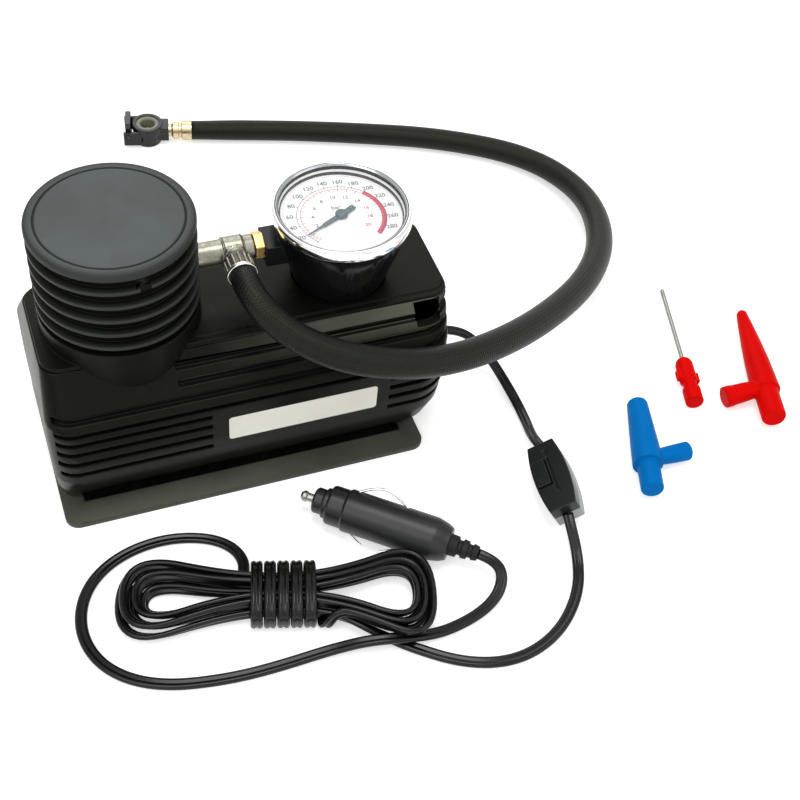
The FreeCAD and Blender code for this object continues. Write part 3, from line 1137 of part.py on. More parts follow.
blue_stub = lying("blue_stub", [
    ("0", "0"), ("stub_radius - 1.7", "0"), ("stub_radius - 1", "12"),
    ("stub_radius - 0.8", "20.4"), ("stub_radius - 1.4", "21"), ("0", "21"),
], Vector(194.1, -94.9, 7.6), Vector(215.43, -94.16, 5.4))
node("cone_nozzle_blue", fuse("cone_nozzle_blue", blue_cone, blue_stub))

doc.recompute()
faults = []
for item in doc.Objects:
    if "Invalid" in item.State or "Error" in item.State:
        faults.append("%s is %s" % (item.Label, item.State))
for item in NODES:
    if item.Shape.isNull() or not item.Shape.isValid() or not item.Shape.Solids:
        faults.append("%s has no sound shape" % item.Label)
    elif len(item.Shape.Solids) != 1:
        faults.append("%s has %d solids" % (item.Label, len(item.Shape.Solids)))
if faults:
    raise ValueError("; ".join(faults))

os.makedirs("parts", exist_ok=True)
for item in NODES:
    item.Shape.exportStep("parts/%s.step" % item.Label)
print("%d sub-parts" % len(NODES))
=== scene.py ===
# %% [markdown]
# # A portable tyre inflator, dressed for its picture
# The solids of this object come from a CAD model: a ribbed housing on a base
# plate, a finned tower over the cylinder, a pressure gauge, a braided hose, a
# flat twin cord with a switch and a socket plug, and three loose adapters.
# Here they get their real edges, their materials and the parts that CAD left
# plain. Everything is in metres and in the CAD model's own frame, so a piece is
# made where it belongs and never moved into place by eye.
# %% The CAD frame
import math

import bmesh
import bpy
from mathutils import Matrix, Vector
from mathutils.bvhtree import BVHTree


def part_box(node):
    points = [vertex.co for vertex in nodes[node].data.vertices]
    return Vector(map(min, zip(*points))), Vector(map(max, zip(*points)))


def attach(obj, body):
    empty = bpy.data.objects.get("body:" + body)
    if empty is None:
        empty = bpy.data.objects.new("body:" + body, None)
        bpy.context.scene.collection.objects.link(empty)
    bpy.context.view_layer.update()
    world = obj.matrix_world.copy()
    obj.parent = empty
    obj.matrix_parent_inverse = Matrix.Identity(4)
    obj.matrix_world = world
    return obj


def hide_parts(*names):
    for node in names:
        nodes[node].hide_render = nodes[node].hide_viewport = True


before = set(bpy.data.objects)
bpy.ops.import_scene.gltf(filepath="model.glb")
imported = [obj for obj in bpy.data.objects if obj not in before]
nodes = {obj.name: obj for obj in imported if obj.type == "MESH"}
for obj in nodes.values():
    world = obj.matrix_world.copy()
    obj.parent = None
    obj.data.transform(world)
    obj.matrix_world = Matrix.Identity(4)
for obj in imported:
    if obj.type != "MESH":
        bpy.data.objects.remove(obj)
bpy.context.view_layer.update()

# %% [markdown]
# ## Camera
# The photograph was taken from above, a little to the left of the housing's
# front. The place and the lens below were solved from the object itself: its
# upright edges, its level edges and the circles of the tower and the gauge all
# have to fall on their places in the picture. Yaw, pitch and roll turn into
# three axes, which are the columns of the camera's matrix.
# %% Camera
CAMERA_PLACE = Vector((-0.1069, -0.4315, 0.5256))
YAW, PITCH, ROLL = (math.radians(a) for a in (25.18, 48.97, -6.93))
FOCAL_PIXELS, FRAME_PIXELS, SENSOR_WIDTH = 1348.7, 800, 36.0


def camera_axes(yaw, pitch, roll):
    """Right, up and backward for a camera that looks down by the pitch."""
    forward = Vector((math.sin(yaw) * math.cos(pitch), math.cos(yaw) * math.cos(pitch),
                      -math.sin(pitch)))
    level = Vector((math.cos(yaw), -math.sin(yaw), 0))
    down = forward.cross(level)
    right = math.cos(roll) * level + math.sin(roll) * down
    lower = -math.sin(roll) * level + math.cos(roll) * down
    return right, -lower, -forward


def placed(name, data):
    """A new object in the scene that holds the data."""
    made = bpy.data.objects.new(name, data)
    bpy.context.scene.collection.objects.link(made)
    return made


camera_data = bpy.data.cameras.new("photo_camera")
camera_data.sensor_width = SENSOR_WIDTH
camera_data.lens = FOCAL_PIXELS / FRAME_PIXELS * SENSOR_WIDTH
camera_data.clip_start, camera_data.clip_end = 0.02, 20.0
camera = placed("photo_camera", camera_data)
axes = Matrix(camera_axes(YAW, PITCH, ROLL)).transposed().to_4x4()
camera.matrix_world = Matrix.Translation(CAMERA_PLACE) @ axes
bpy.context.scene.camera = camera
print("lens %.1f mm" % camera_data.lens)

# %% [markdown]
# ## Small helpers
# Each piece made here is a mesh whose corners are worked out in the CAD model's
# frame. Blender's ready-made shapes would have to be moved and scaled into
# place afterwards, and a pattern on them would move too. The helpers below
# make a mesh, turn its faces outwards, and put it on its body in the model.
# %% Mesh helpers
HOME, WELD = "inflator", 1e-7


def add_piece(name, mesh, material, body=HOME, slot=None, stands_for=(), smooth=True):
    """Put a mesh in the scene under a name, with its finish and the body it rides on."""
    piece = placed(name, mesh)
    mesh.materials.clear()
    mesh.materials.append(material)
    for face in mesh.polygons:
        face.use_smooth = smooth
    print("%-22s %6d faces, %s" % (name, len(mesh.polygons), material.name))
    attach(piece, body)
    if stands_for:
        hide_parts(*stands_for)
    return piece


def mesh_from(name, corners, faces):
    mesh = bpy.data.meshes.new(name)
    mesh.from_pydata([tuple(c) for c in corners], [], faces)
    mesh.validate()
    return mesh


def face_outwards(mesh, weld=None):
    """Turn a closed mesh's faces outwards, after merging its doubles where asked."""
    work = bmesh.new()
    work.from_mesh(mesh)
    if weld:
        bmesh.ops.remove_doubles(work, verts=work.verts, dist=weld)
    bmesh.ops.recalc_face_normals(work, faces=work.faces)
    work.to_mesh(mesh)
    work.free()


# %% [markdown]
# ## Shader groups
# The finishes share a few effects: the fine grain of a spark-eroded mould, the
# faint scuffs and dust of handling, and the diagonal plait of a braided hose.
# Each is one node group with named inputs, so a material only gives it numbers.
# Groups hand back colours, masks and normals; the Principled shader itself
# stays in each material, where other programs can read it. Short functions add
# the nodes that every group needs and hand back the output that is used.
# %% Shader group helpers
RESULT_KINDS = {"Color": "Color", "Roughness": "Float", "Normal": "Vector", "Height": "Float"}


def new_group(name, inputs):
    """A shader group, and the sockets of its given inputs by name."""
    group = bpy.data.node_groups.new(name, "ShaderNodeTree")
    for label, kind, value in inputs:
        socket = group.interface.new_socket(label, in_out="INPUT", socket_type="NodeSocket" + kind)
        socket.default_value = value
    return group, group.nodes.new("NodeGroupInput").outputs


def hand_back(group, **results):
    """End a shader group with the results that it hands back, by name."""
    for label in results:
        group.interface.new_socket(label, in_out="OUTPUT",
                                   socket_type="NodeSocket" + RESULT_KINDS[label])
    node_in(group, "NodeGroupOutput", results)
    print("group %s hands back %s" % (group.name, ", ".join(results)))


def node_in(tree, kind, links=None, **settings):
    """Add a node, set its properties, and give its inputs values or links by name or number."""
    made = tree.nodes.new(kind)
    for key, value in settings.items():
        setattr(made, key, value)
    for key, value in (links or {}).items():
        socket = made.inputs[key]
        if isinstance(value, bpy.types.NodeSocket):
            tree.links.new(value, socket)
        else:
            socket.default_value = value
    return made


def calculated(tree, operation, *values, **settings):
    """The result of a math node on values or sockets."""
    return node_in(tree, "ShaderNodeMath", dict(enumerate(values)), operation=operation,
                   **settings).outputs[0]


def ranged(tree, value, low, high, to_low=0.0, to_high=1.0):
    """A value carried from one range into another and held at its ends."""
    return node_in(tree, "ShaderNodeMapRange", {
        "Value": value, "From Min": low, "From Max": high, "To Min": to_low,
        "To Max": to_high}).outputs[0]


def noise(tree, spot, scale, detail, roughness=0.5):
    return node_in(tree, "ShaderNodeTexNoise", {
        "Vector": spot, "Scale": scale, "Detail": detail, "Roughness": roughness}).outputs["Fac"]


def mixed(tree, share, first, second):
    """A colour that passes from a first one into a second."""
    return node_in(tree, "ShaderNodeMix", {"Factor": share, 6: first, 7: second},
                   data_type="RGBA").outputs[2]


def bumped(tree, height, strength, distance):
    return node_in(tree, "ShaderNodeBump", {
        "Strength": strength, "Distance": distance, "Height": height}).outputs[0]


def spot_on(tree, kind="Object"):
    """Where a spot lies: on the whole object, or on the piece's own UV map."""
    return node_in(tree, "ShaderNodeTexCoord").outputs[kind]


def parts_of(tree, vector):
    """The three parts of a vector as sockets."""
    return node_in(tree, "ShaderNodeSeparateXYZ", {0: vector}).outputs


def facing_of(tree):
    """The three parts of the direction in which the surface faces."""
    return parts_of(tree, node_in(tree, "ShaderNodeNewGeometry").outputs["Normal"])


# %% [markdown]
# A moulded plastic takes a fine grain from its spark-eroded mould. Handling
# leaves broad clouds in its tone and roughness, and dust lies in specks on the
# faces that look up. A painted picture could show this, but noise needs no
# unwrapping and stays crisp from near.
# %% Moulded grain
CLOUD_SCALE, SCUFF_SCALE, GRAIN_HEIGHT, CLOUD_ON_ROUGHNESS = 22.0, 160.0, 0.00015, 0.35
CLOUD_SPAN, LEVEL_SPAN, DUST_SPAN = (0.35, 0.65), (0.5, 1.0), (0.56, 0.8)
DUST_COLOR = (0.32, 0.31, 0.29, 1)
grain_group, given = new_group("moulded grain", [
    ("Color", "Color", (0.03, 0.03, 0.03, 1)), ("Grain Size", "Float", 1800.0),
    ("Grain Depth", "Float", 0.12), ("Roughness", "Float", 0.45),
    ("Cloudiness", "Float", 0.25), ("Dust", "Float", 0.15)])
spot = spot_on(grain_group)
grain = noise(grain_group, spot, given["Grain Size"], 2.0)
broad = noise(grain_group, spot, CLOUD_SCALE, 4.0, 0.6)
scuff = noise(grain_group, spot, SCUFF_SCALE, 6.0, 0.7)
cloud = calculated(grain_group, "MULTIPLY", ranged(grain_group, broad, *CLOUD_SPAN, -0.5, 0.5),
                   given["Cloudiness"])
rougher = calculated(grain_group, "MULTIPLY", cloud, CLOUD_ON_ROUGHNESS)
lighter = calculated(grain_group, "ADD", cloud, 1.0)
tone = node_in(grain_group, "ShaderNodeVectorMath", {0: given["Color"], "Scale": lighter},
               operation="SCALE").outputs[0]
upward = ranged(grain_group, facing_of(grain_group)["Z"], *LEVEL_SPAN)
specks = calculated(grain_group, "MULTIPLY", upward, ranged(grain_group, scuff, *DUST_SPAN))
dusty = calculated(grain_group, "MULTIPLY", specks, given["Dust"])
hand_back(grain_group, Color=mixed(grain_group, dusty, tone, DUST_COLOR),
          Roughness=calculated(grain_group, "ADD", rougher, given["Roughness"]),
          Normal=bumped(grain_group, grain, given["Grain Depth"], GRAIN_HEIGHT))

# %% [markdown]
# The hose cover is a textile braid. Its pattern follows the surface: the piece
# carries a UV map whose U runs round the hose and V along it, in bundles of
# yarn. Two families of diagonal waves cross, and the higher of the two at each
# spot is the yarn on top.
# %% Braid
FUZZ_SCALE, UNDER_YARN, RELIEF_SPAN = 900.0, 0.45, (-1.2, 1.4)
braid_group, given = new_group("diagonal braid", [
    ("Across", "Float", 24.0), ("Along", "Float", 1.0), ("Yarn", "Color", (0.06, 0.06, 0.055, 1)),
    ("Gap", "Color", (0.012, 0.012, 0.012, 1))])
wrapped = parts_of(braid_group, spot_on(braid_group, "UV"))
across = calculated(braid_group, "MULTIPLY", wrapped[0], given["Across"])
along = calculated(braid_group, "MULTIPLY", wrapped[1], given["Along"])
yarns = []
for direction in ("ADD", "SUBTRACT"):
    slant = calculated(braid_group, direction, across, along)
    turns = calculated(braid_group, "MULTIPLY", slant, 2 * math.pi)
    yarns.append(calculated(braid_group, "SINE", turns))
under = calculated(braid_group, "MULTIPLY", calculated(braid_group, "MINIMUM", *yarns), UNDER_YARN)
relief = calculated(braid_group, "ADD", calculated(braid_group, "MAXIMUM", *yarns), under)
height = ranged(braid_group, relief, *RELIEF_SPAN)
fuzz = noise(braid_group, spot_on(braid_group), FUZZ_SCALE, 3.0)
yarn_share = calculated(braid_group, "MULTIPLY", height, fuzz)
hand_back(braid_group, Color=mixed(braid_group, yarn_share, given["Gap"], given["Yarn"]),
          Height=height)

# %% [markdown]
# Machined and plated metal has blotches of tarnish, a little rougher than the
# bright metal round them, and hair-fine scratches.
# %% Machined metal
BLOTCH_SCALE, HAIR_SCALE, HAIR_HEIGHT, TARNISH_ROUGHNESS = 260.0, 3200.0, 0.0001, 0.4
BLOTCH_SPAN = (0.45, 0.75)
metal_group, given = new_group("machined metal", [
    ("Color", "Color", (0.6, 0.58, 0.52, 1)), ("Tarnish", "Color", (0.25, 0.22, 0.18, 1)),
    ("Amount", "Float", 0.3), ("Roughness", "Float", 0.3), ("Scratch Depth", "Float", 0.1)])
spot = spot_on(metal_group)
blotch = ranged(metal_group, noise(metal_group, spot, BLOTCH_SCALE, 5.0, 0.65), *BLOTCH_SPAN)
tarnished = calculated(metal_group, "MULTIPLY", blotch, given["Amount"])
rougher = calculated(metal_group, "MULTIPLY", tarnished, TARNISH_ROUGHNESS)
hair = noise(metal_group, spot, HAIR_SCALE, 1.0)
hand_back(metal_group, Color=mixed(metal_group, tarnished, given["Color"], given["Tarnish"]),
          Roughness=calculated(metal_group, "ADD", rougher, given["Roughness"]),
          Normal=bumped(metal_group, hair, given["Scratch Depth"], HAIR_HEIGHT))

# %% [markdown]
# Light and shade are painted into these colours, and the shape says where. The outer faces of the
# tower's fins take a painted highlight and the grooves between take painted shade; the cap's top is
# painted lighter, as lit from above, and its rounded rim is painted darker. The base plate's border
# is painted lighter, as lit, and its sunk floor takes painted shade from the body over it. Paint
# masks could say where, but the shape itself says it more simply: two groups turn a spot's distance
# from the tower's axis, or from the plate's edge, into a blend of two colours.
# %% Painted light by radius
TOWER_AXIS = (-0.0472, 0, 0)
# Painted light: outer radii take one colour and inner radii another, for lit rims and shaded
# grooves.
rim_group, given = new_group("painted light by radius", [
    ("Masked Tone", "Color", (0.06, 0.06, 0.05, 1)), ("Other Tone", "Color", (0.003, 0.003, 0.003, 1)),
    ("Axis", "Vector", (0, 0, 0)), ("Inner", "Float", 0.034), ("Outer", "Float", 0.035)])
from_axis = node_in(rim_group, "ShaderNodeVectorMath", {0: spot_on(rim_group), 1: given["Axis"]},
                    operation="SUBTRACT")
level_part = node_in(rim_group, "ShaderNodeVectorMath", {0: from_axis.outputs[0], 1: (1, 1, 0)},
                     operation="MULTIPLY")
radius_here = node_in(rim_group, "ShaderNodeVectorMath", {0: level_part.outputs[0]},
                      operation="LENGTH").outputs[1]
outermost = ranged(rim_group, radius_here, given["Inner"], given["Outer"])
hand_back(rim_group, Color=mixed(rim_group, outermost, given["Other Tone"], given["Masked Tone"]))

# %% Painted light by border
BORDER_SPAN = (-0.0006, 0.0002)
# Painted light: the border takes a lit colour and the sunk floor takes painted shade.
border_group, given = new_group("painted light by border", [
    ("Masked Tone", "Color", (0.05, 0.05, 0.045, 1)), ("Other Tone", "Color", (0.004, 0.004, 0.004, 1)),
    ("Half Length", "Float", 0.079), ("Half Width", "Float", 0.0407)])
place = parts_of(border_group, spot_on(border_group))
past_floor = []
for axis, half in enumerate(("Half Length", "Half Width")):
    size = calculated(border_group, "ABSOLUTE", place[axis])
    past_floor.append(calculated(border_group, "SUBTRACT", size, given[half]))
farthest = calculated(border_group, "MAXIMUM", *past_floor)
on_border = ranged(border_group, farthest, *BORDER_SPAN)
hand_back(border_group, Color=mixed(border_group, on_border, given["Other Tone"], given["Masked Tone"]))

# %% [markdown]
# The long strips between the grooves of the front shoulder lean back and catch the light; their
# sheen is painted into the colour here. This group blends by the height of a spot, and only where
# the surface leans up and forward.
# %% Painted sheen by height
LEANS_BACK, LOOKS_FORWARD = (0.35, 0.60), (-0.05, -0.35)
# Painted sheen: strips that lean up and forward take a lighter colour.
band_group, given = new_group("painted sheen by height", [
    ("Masked Tone", "Color", (0.08, 0.08, 0.07, 1)), ("Other Tone", "Color", (0.006, 0.006, 0.006, 1)),
    ("Low", "Float", 0.0700), ("Full", "Float", 0.0790), ("High", "Float", 0.0835),
    ("Left", "Float", -0.012), ("Right", "Float", 0.040)])
place = parts_of(band_group, spot_on(band_group))
facing = facing_of(band_group)
on_band = ranged(band_group, place[2], given["Low"], given["Full"])
for limit in (calculated(band_group, "LESS_THAN", place[2], given["High"]),
              ranged(band_group, place[0], given["Left"], given["Right"]),
              ranged(band_group, facing[2], *LEANS_BACK),
              ranged(band_group, facing[1], *LOOKS_FORWARD)):
    on_band = calculated(band_group, "MULTIPLY", on_band, limit)
hand_back(band_group, Color=mixed(band_group, on_band, given["Other Tone"], given["Masked Tone"]))


# %% [markdown]
# ## Materials
# One function makes a material around a Principled shader and, if it is given
# a group, wires the group's outputs into it. Values that are the same all over
# a surface, such as metallic or the strength of its shine, are set on the
# shader itself.
# %% Material helpers
BRAID_STRENGTH, BRAID_HEIGHT = 0.45, 0.0003
OLIVE_SHEEN = (0.86, 0.90, 0.68, 1)


def solid(color):
    return (*color, 1)


def finish_of(name, group, values, **sockets):
    """A material round a Principled shader that a shader group feeds."""
    material = bpy.data.materials.new(name)
    material.use_nodes = True
    tree = material.node_tree
    shader = tree.nodes["Principled BSDF"]
    for label, value in sockets.items():
        shader.inputs[label.replace("_", " ")].default_value = value
    made = node_in(tree, "ShaderNodeGroup", values, node_tree=group)
    for label, target in (("Color", "Base Color"), ("Roughness", "Roughness"),
                          ("Normal", "Normal")):
        if label in made.outputs:
            tree.links.new(made.outputs[label], shader.inputs[target])
    if "Height" in made.outputs:
        tree.links.new(bumped(tree, made.outputs["Height"], BRAID_STRENGTH, BRAID_HEIGHT),
                       shader.inputs["Normal"])
    print("%-20s fed by %s" % (name, group.name))
    return material


def moulded(name, color, roughness, size, depth, cloud, dust, shine=0.5, **more):
    """A plastic with its grain's size and depth, its clouds of tone and its dust."""
    return finish_of(name, grain_group, {
        "Color": solid(color), "Roughness": roughness, "Grain Size": size, "Grain Depth": depth,
        "Cloudiness": cloud, "Dust": dust}, Specular_IOR_Level=shine, **more)


def worn(material, group, masked_color, other_color, **limits):
    """Feed the material's grain group with painted light and shade: a colour that another group
    blends from two.
    """
    tree = material.node_tree
    grained = next(n for n in tree.nodes if n.bl_idname == "ShaderNodeGroup")
    blend = node_in(tree, "ShaderNodeGroup", {
        "Masked Tone": solid(masked_color), "Other Tone": solid(other_color), **limits}, node_tree=group)
    tree.links.new(blend.outputs["Color"], grained.inputs["Color"])
    return material


def machined(name, color, tarnish, amount, roughness, depth=0.1):
    """A metal with the colour and the amount of its tarnish, and its scratches' depth."""
    return finish_of(name, metal_group, {
        "Color": solid(color), "Tarnish": solid(tarnish), "Amount": amount,
        "Roughness": roughness, "Scratch Depth": depth}, Metallic=1.0)


# %% [markdown]
# The four black mouldings that show most have light and shade painted into their base colour, which
# comes from one of the painted-light groups above. Their shine is weak and a little olive, as on a
# cheap black plastic under warm light.
# %% Blacks with painted light
FROM_GROUP = (0.03, 0.03, 0.03)
# Housing: painted sheen on the front shoulder strips.
housing_black = worn(
    moulded("housing black", FROM_GROUP, 0.34, 1500.0, 0.14, 0.3, 0.03, 0.10,
            Specular_Tint=OLIVE_SHEEN),
    band_group, (0.086, 0.089, 0.068), (0.0052, 0.0056, 0.0045))
# Base plate: border painted lighter as lit, sunk floor painted shade.
base_black = worn(
    moulded("base black", FROM_GROUP, 0.42, 1500.0, 0.16, 0.35, 0.05, 0.22,
            Specular_Tint=OLIVE_SHEEN),
    border_group, (0.060, 0.062, 0.050), (0.0036, 0.0038, 0.0034))
# Fins: painted highlight on the outer faces, painted shade in the grooves.
fin_black = worn(
    moulded("fin black", FROM_GROUP, 0.42, 1500.0, 0.12, 0.25, 0.0, 0.16,
            Specular_Tint=OLIVE_SHEEN),
    rim_group, (0.033, 0.036, 0.031), (0.0028, 0.0030, 0.0026),
    Axis=TOWER_AXIS, Inner=0.0322, Outer=0.0358)
# Cap: top painted lighter as lit from above, rounded rim painted darker.
cap_black = worn(
    moulded("cap black", FROM_GROUP, 0.56, 1500.0, 0.10, 0.55, 0.05, 0.28),
    rim_group, (0.020, 0.023, 0.021), (0.059, 0.069, 0.068),
    Axis=TOWER_AXIS, Inner=0.0322, Outer=0.0352)

# %% [markdown]
# The other plastics, inks and rubbers differ only in numbers: colour,
# roughness, size and depth of the grain, clouds, dust and shine.
# %% Plastics and inks
rubber_black = moulded("rubber black", (0.012, 0.012, 0.012), 0.62, 2200.0, 0.1, 0.3, 0.06, 0.25)
cord_black = moulded("cord vinyl", (0.0042, 0.0046, 0.0040), 0.22, 2600.0, 0.05, 0.2, 0.02, 0.30)
plug_black = moulded("plug black", (0.0100, 0.0110, 0.0105), 0.36, 2400.0, 0.08, 0.25, 0.04, 0.42)
can_black = moulded("gauge can black", (0.0055, 0.0062, 0.0064), 0.20, 2000.0, 0.04, 0.2, 0.03,
                    0.22)
switch_black = moulded("switch black", (0.0100, 0.0112, 0.0108), 0.32, 2200.0, 0.06, 0.2, 0.04,
                       0.28)
switch_grey = moulded("switch grey", (0.33, 0.35, 0.34), 0.45, 2200.0, 0.06, 0.2, 0.03)
lever_black = moulded("lever black", (0.008, 0.008, 0.009), 0.25, 2200.0, 0.04, 0.2, 0.0)
chuck_black = moulded("chuck black", (0.008, 0.009, 0.008), 0.12, 2000.0, 0.03, 0.3, 0.0, 0.34)
seal_olive = moulded("chuck seal", (0.190, 0.192, 0.140), 0.40, 1600.0, 0.10, 0.5, 0.05, 0.40)
red_plastic = moulded("red plastic", (0.70, 0.0030, 0.0022), 0.34, 900.0, 0.03, 0.10, 0.0, 0.02)
blue_plastic = moulded("blue plastic", (0.0012, 0.160, 0.500), 0.34, 900.0, 0.03, 0.10, 0.0, 0.02)
dial_white = moulded("dial white", (0.96, 0.96, 0.955), 0.55, 1800.0, 0.01, 0.02, 0.0, 0.2)
rim_white = moulded("rim white", (0.86, 0.87, 0.86), 0.45, 1800.0, 0.02, 0.04, 0.0)
ink_grey = moulded("ink grey", (0.17, 0.20, 0.185), 0.6, 1800.0, 0.01, 0.3, 0.0)
ink_red = moulded("ink red", (0.62, 0.12, 0.16), 0.6, 1800.0, 0.01, 0.2, 0.0)
ink_zone = moulded("ink zone", (0.60, 0.07, 0.13), 0.6, 1800.0, 0.01, 0.25, 0.0)
pointer_paint = moulded("pointer paint", (0.045, 0.085, 0.105), 0.38, 1800.0, 0.02, 0.2, 0.0)
# Painted shade: a dark colour for the ring in the cap's groove.
groove_shade = moulded("groove shade", (0.020, 0.022, 0.020), 0.7, 1500.0, 0.1, 0.4, 0.0, 0.1)
fold_black = moulded("fold shadow", (0.03, 0.032, 0.034), 0.5, 1800.0, 0.02, 0.1, 0.0)
paper_cream = moulded("sticker paper", (0.99, 0.97, 0.86), 0.55, 1400.0, 0.06, 0.10, 0.0, 0.3)
nylon = moulded("gear nylon", (0.74, 0.73, 0.68), 0.45, 2200.0, 0.05, 0.15, 0.0)

# %% [markdown]
# The metals give a bright colour, the colour of the tarnish, its amount, the
# roughness and, where it isn't the usual one, the depth of the scratches.
# %% Metals
nickel = machined("nickel plate", (0.34, 0.33, 0.27), (0.09, 0.085, 0.06), 0.55, 0.36, 0.2)
crimp_metal = machined("crimped sleeve", (0.16, 0.14, 0.12), (0.04, 0.04, 0.04), 0.6, 0.42, 0.2)
rolled_rim = machined("rolled rim", (0.86, 0.85, 0.78), (0.5, 0.48, 0.40), 0.25, 0.22, 0.05)
brass = machined("brass", (0.80, 0.57, 0.20), (0.42, 0.20, 0.05), 0.45, 0.26)
pale_brass = machined("pale brass", (0.62, 0.53, 0.34), (0.34, 0.25, 0.12), 0.4, 0.30)
chrome = machined("chrome", (0.95, 0.96, 0.96), (0.7, 0.7, 0.7), 0.1, 0.12, 0.02)
# Painted reflection: a darker chrome that stands for a dark surround mirrored in the bezel's slope.
chrome_darkened = machined("chrome painted darker", (0.44, 0.46, 0.47), (0.3, 0.3, 0.3), 0.2, 0.22, 0.05)
steel = machined("plated steel", (0.34, 0.34, 0.31), (0.22, 0.21, 0.19), 0.3, 0.34)
alloy = machined("cast alloy", (0.68, 0.68, 0.69), (0.4, 0.4, 0.4), 0.3, 0.45, 0.25)
magnet_grey = machined("magnet", (0.16, 0.16, 0.17), (0.1, 0.1, 0.1), 0.3, 0.6, 0.3)

# %% [markdown]
# The hose's cover takes the braid. The gauge's lens is so thin that it hardly
# bends the light: its shader is nearly transparent and keeps only a gloss,
# where a glass shader would darken the dial.
# %% Braid and lens
hose_cover = finish_of("hose braid", braid_group, {
    "Across": 12.0, "Along": 7.6, "Yarn": (0.0135, 0.0150, 0.0125, 1),
    "Gap": (0.0052, 0.0056, 0.0046, 1)}, Roughness=0.40, Specular_IOR_Level=0.20,
    Specular_Tint=OLIVE_SHEEN)
lens_clear = finish_of("lens clear", grain_group, {
    "Color": (1, 1, 1, 1), "Roughness": 0.06, "Grain Size": 400.0, "Grain Depth": 0.0,
    "Cloudiness": 0.0, "Dust": 0.0}, Alpha=0.04)
print("materials:", len(bpy.data.materials))

# %% [markdown]
# ## Routes
# Hose and cord each follow one smooth spline. Its control points are the
# corners that the CAD model's tubes turn at, except in the hank's left lobe,
# which is drawn a little narrower. A NURBS spline of order three runs inside
# those corners, the way a stiff cord takes a bend; a Bezier spline would need a
# handle set for every point. To sweep anything along it, the spline is read
# back as a plain line of points.
# %% Reading a spline
UP = Vector((0, 0, 1))
SPLINE_ORDER = 3


def points_along(corners, per_corner=12):
    """The points that Blender itself draws along one NURBS spline through the corners."""
    curve = bpy.data.curves.new("route", "CURVE")
    curve.dimensions = "3D"
    curve.resolution_u = per_corner
    spline = curve.splines.new("NURBS")
    spline.points.add(len(corners) - 1)
    for point, corner in zip(spline.points, corners):
        point.co = (*corner, 1.0)
    spline.order_u = SPLINE_ORDER
    spline.use_endpoint_u = True
    route = bpy.data.objects.new("route", curve)
    line = bpy.data.meshes.new_from_object(route)
    points = [v.co.copy() for v in line.vertices]
    bpy.data.meshes.remove(line)
    bpy.data.objects.remove(route)
    bpy.data.curves.remove(curve)
    return points


def distances(points):
    """How far along a line each of its points lies."""
    out = [0.0]
    for a, b in zip(points, points[1:]):
        out.append(out[-1] + (b - a).length)
    return out


def headings(points):
    """The direction of travel at each point of a line."""
    last = len(points) - 1
    return [(points[min(i + 1, last)] - points[max(i - 1, 0)]).normalized()
            for i in range(len(points))]


def sweep(name, points, sides, ring, uv_length, sizes=None):
    """A tube whose ring of (side, rise) points follows a line; its UV runs round and along."""
    count, last = len(ring), len(points) - 1
    corners, faces = [], []
    for i, (point, way, side) in enumerate(zip(points, headings(points), sides)):
        across_way = (side - way * side.dot(way)).normalized()
        rise = way.cross(across_way)
        scale = sizes[i] if sizes else 1.0
        corners.extend(point + across_way * (u * scale) + rise * (v * scale) for u, v in ring)
    for i in range(last):
        for k in range(count):
            j = (k + 1) % count
            faces.append((i * count + k, i * count + j, (i + 1) * count + j, (i + 1) * count + k))
    faces.append(tuple(range(count))[::-1])
    faces.append(tuple(last * count + k for k in range(count)))
    mesh = mesh_from(name, corners, faces)
    layer = mesh.uv_layers.new(name="UVMap")
    travelled = distances(points)
    for face in mesh.polygons[:last * count]:
        k = face.index % count
        for loop_index in face.loop_indices:
            vertex = mesh.loops[loop_index].vertex_index
            column = vertex % count
            if column == 0 and k == count - 1:
                column = count
            layer.data[loop_index].uv = (column / count, travelled[vertex // count] / uv_length)
    face_outwards(mesh)
    return mesh


# %% [markdown]
# ### The air hose
# It leaves the crimped ferrule towards the front, drops over the housing's
# shoulder, swings out to the right in a wide bow and ends behind the tower in
# the chuck. The braided cover is tight at both ends, where it is crimped, and
# a little looser in the open bow, so the round section changes its size along
# the line.
# %% Air hose
HOSE_ROUTE = [
    (0.0050, -0.0173, 0.1100), (0.0050, -0.0260, 0.1100), (0.0105, -0.0370, 0.1025),
    (0.0244, -0.0472, 0.0918), (0.0467, -0.0545, 0.0812), (0.0779, -0.0568, 0.0712),
    (0.1149, -0.0466, 0.0593), (0.1588, -0.0233, 0.0446), (0.2040, 0.0110, 0.0297),
    (0.2340, 0.0510, 0.0184), (0.2455, 0.0970, 0.0105), (0.2285, 0.1390, 0.0076),
    (0.1840, 0.1690, 0.0070), (0.1280, 0.1895, 0.0068), (0.0790, 0.2045, 0.0067),
    (0.0369, 0.2146, 0.0069),
]
HOSE_LENGTH, HOSE_DIAMETER = 0.600, 0.013
HOSE_SIDES, HOSE_PER_CORNER, YARN_BUNDLE = 40, 24, 0.0104
HOSE_FULLNESS = [(0.0, 0.93), (0.04, 1.0), (0.12, 1.10), (0.35, 1.15), (0.50, 1.14),
                 (0.60, 1.04), (0.75, 0.99), (0.95, 0.93), (1.0, 0.86)]


def along_table(table, share):
    """A value read from a table of (share, value) pairs, eased from each one to the next."""
    for (a, low), (b, high) in zip(table, table[1:]):
        if share <= b:
            t = (share - a) / (b - a)
            return low + (high - low) * (t * t * (3 - 2 * t))
    return table[-1][1]


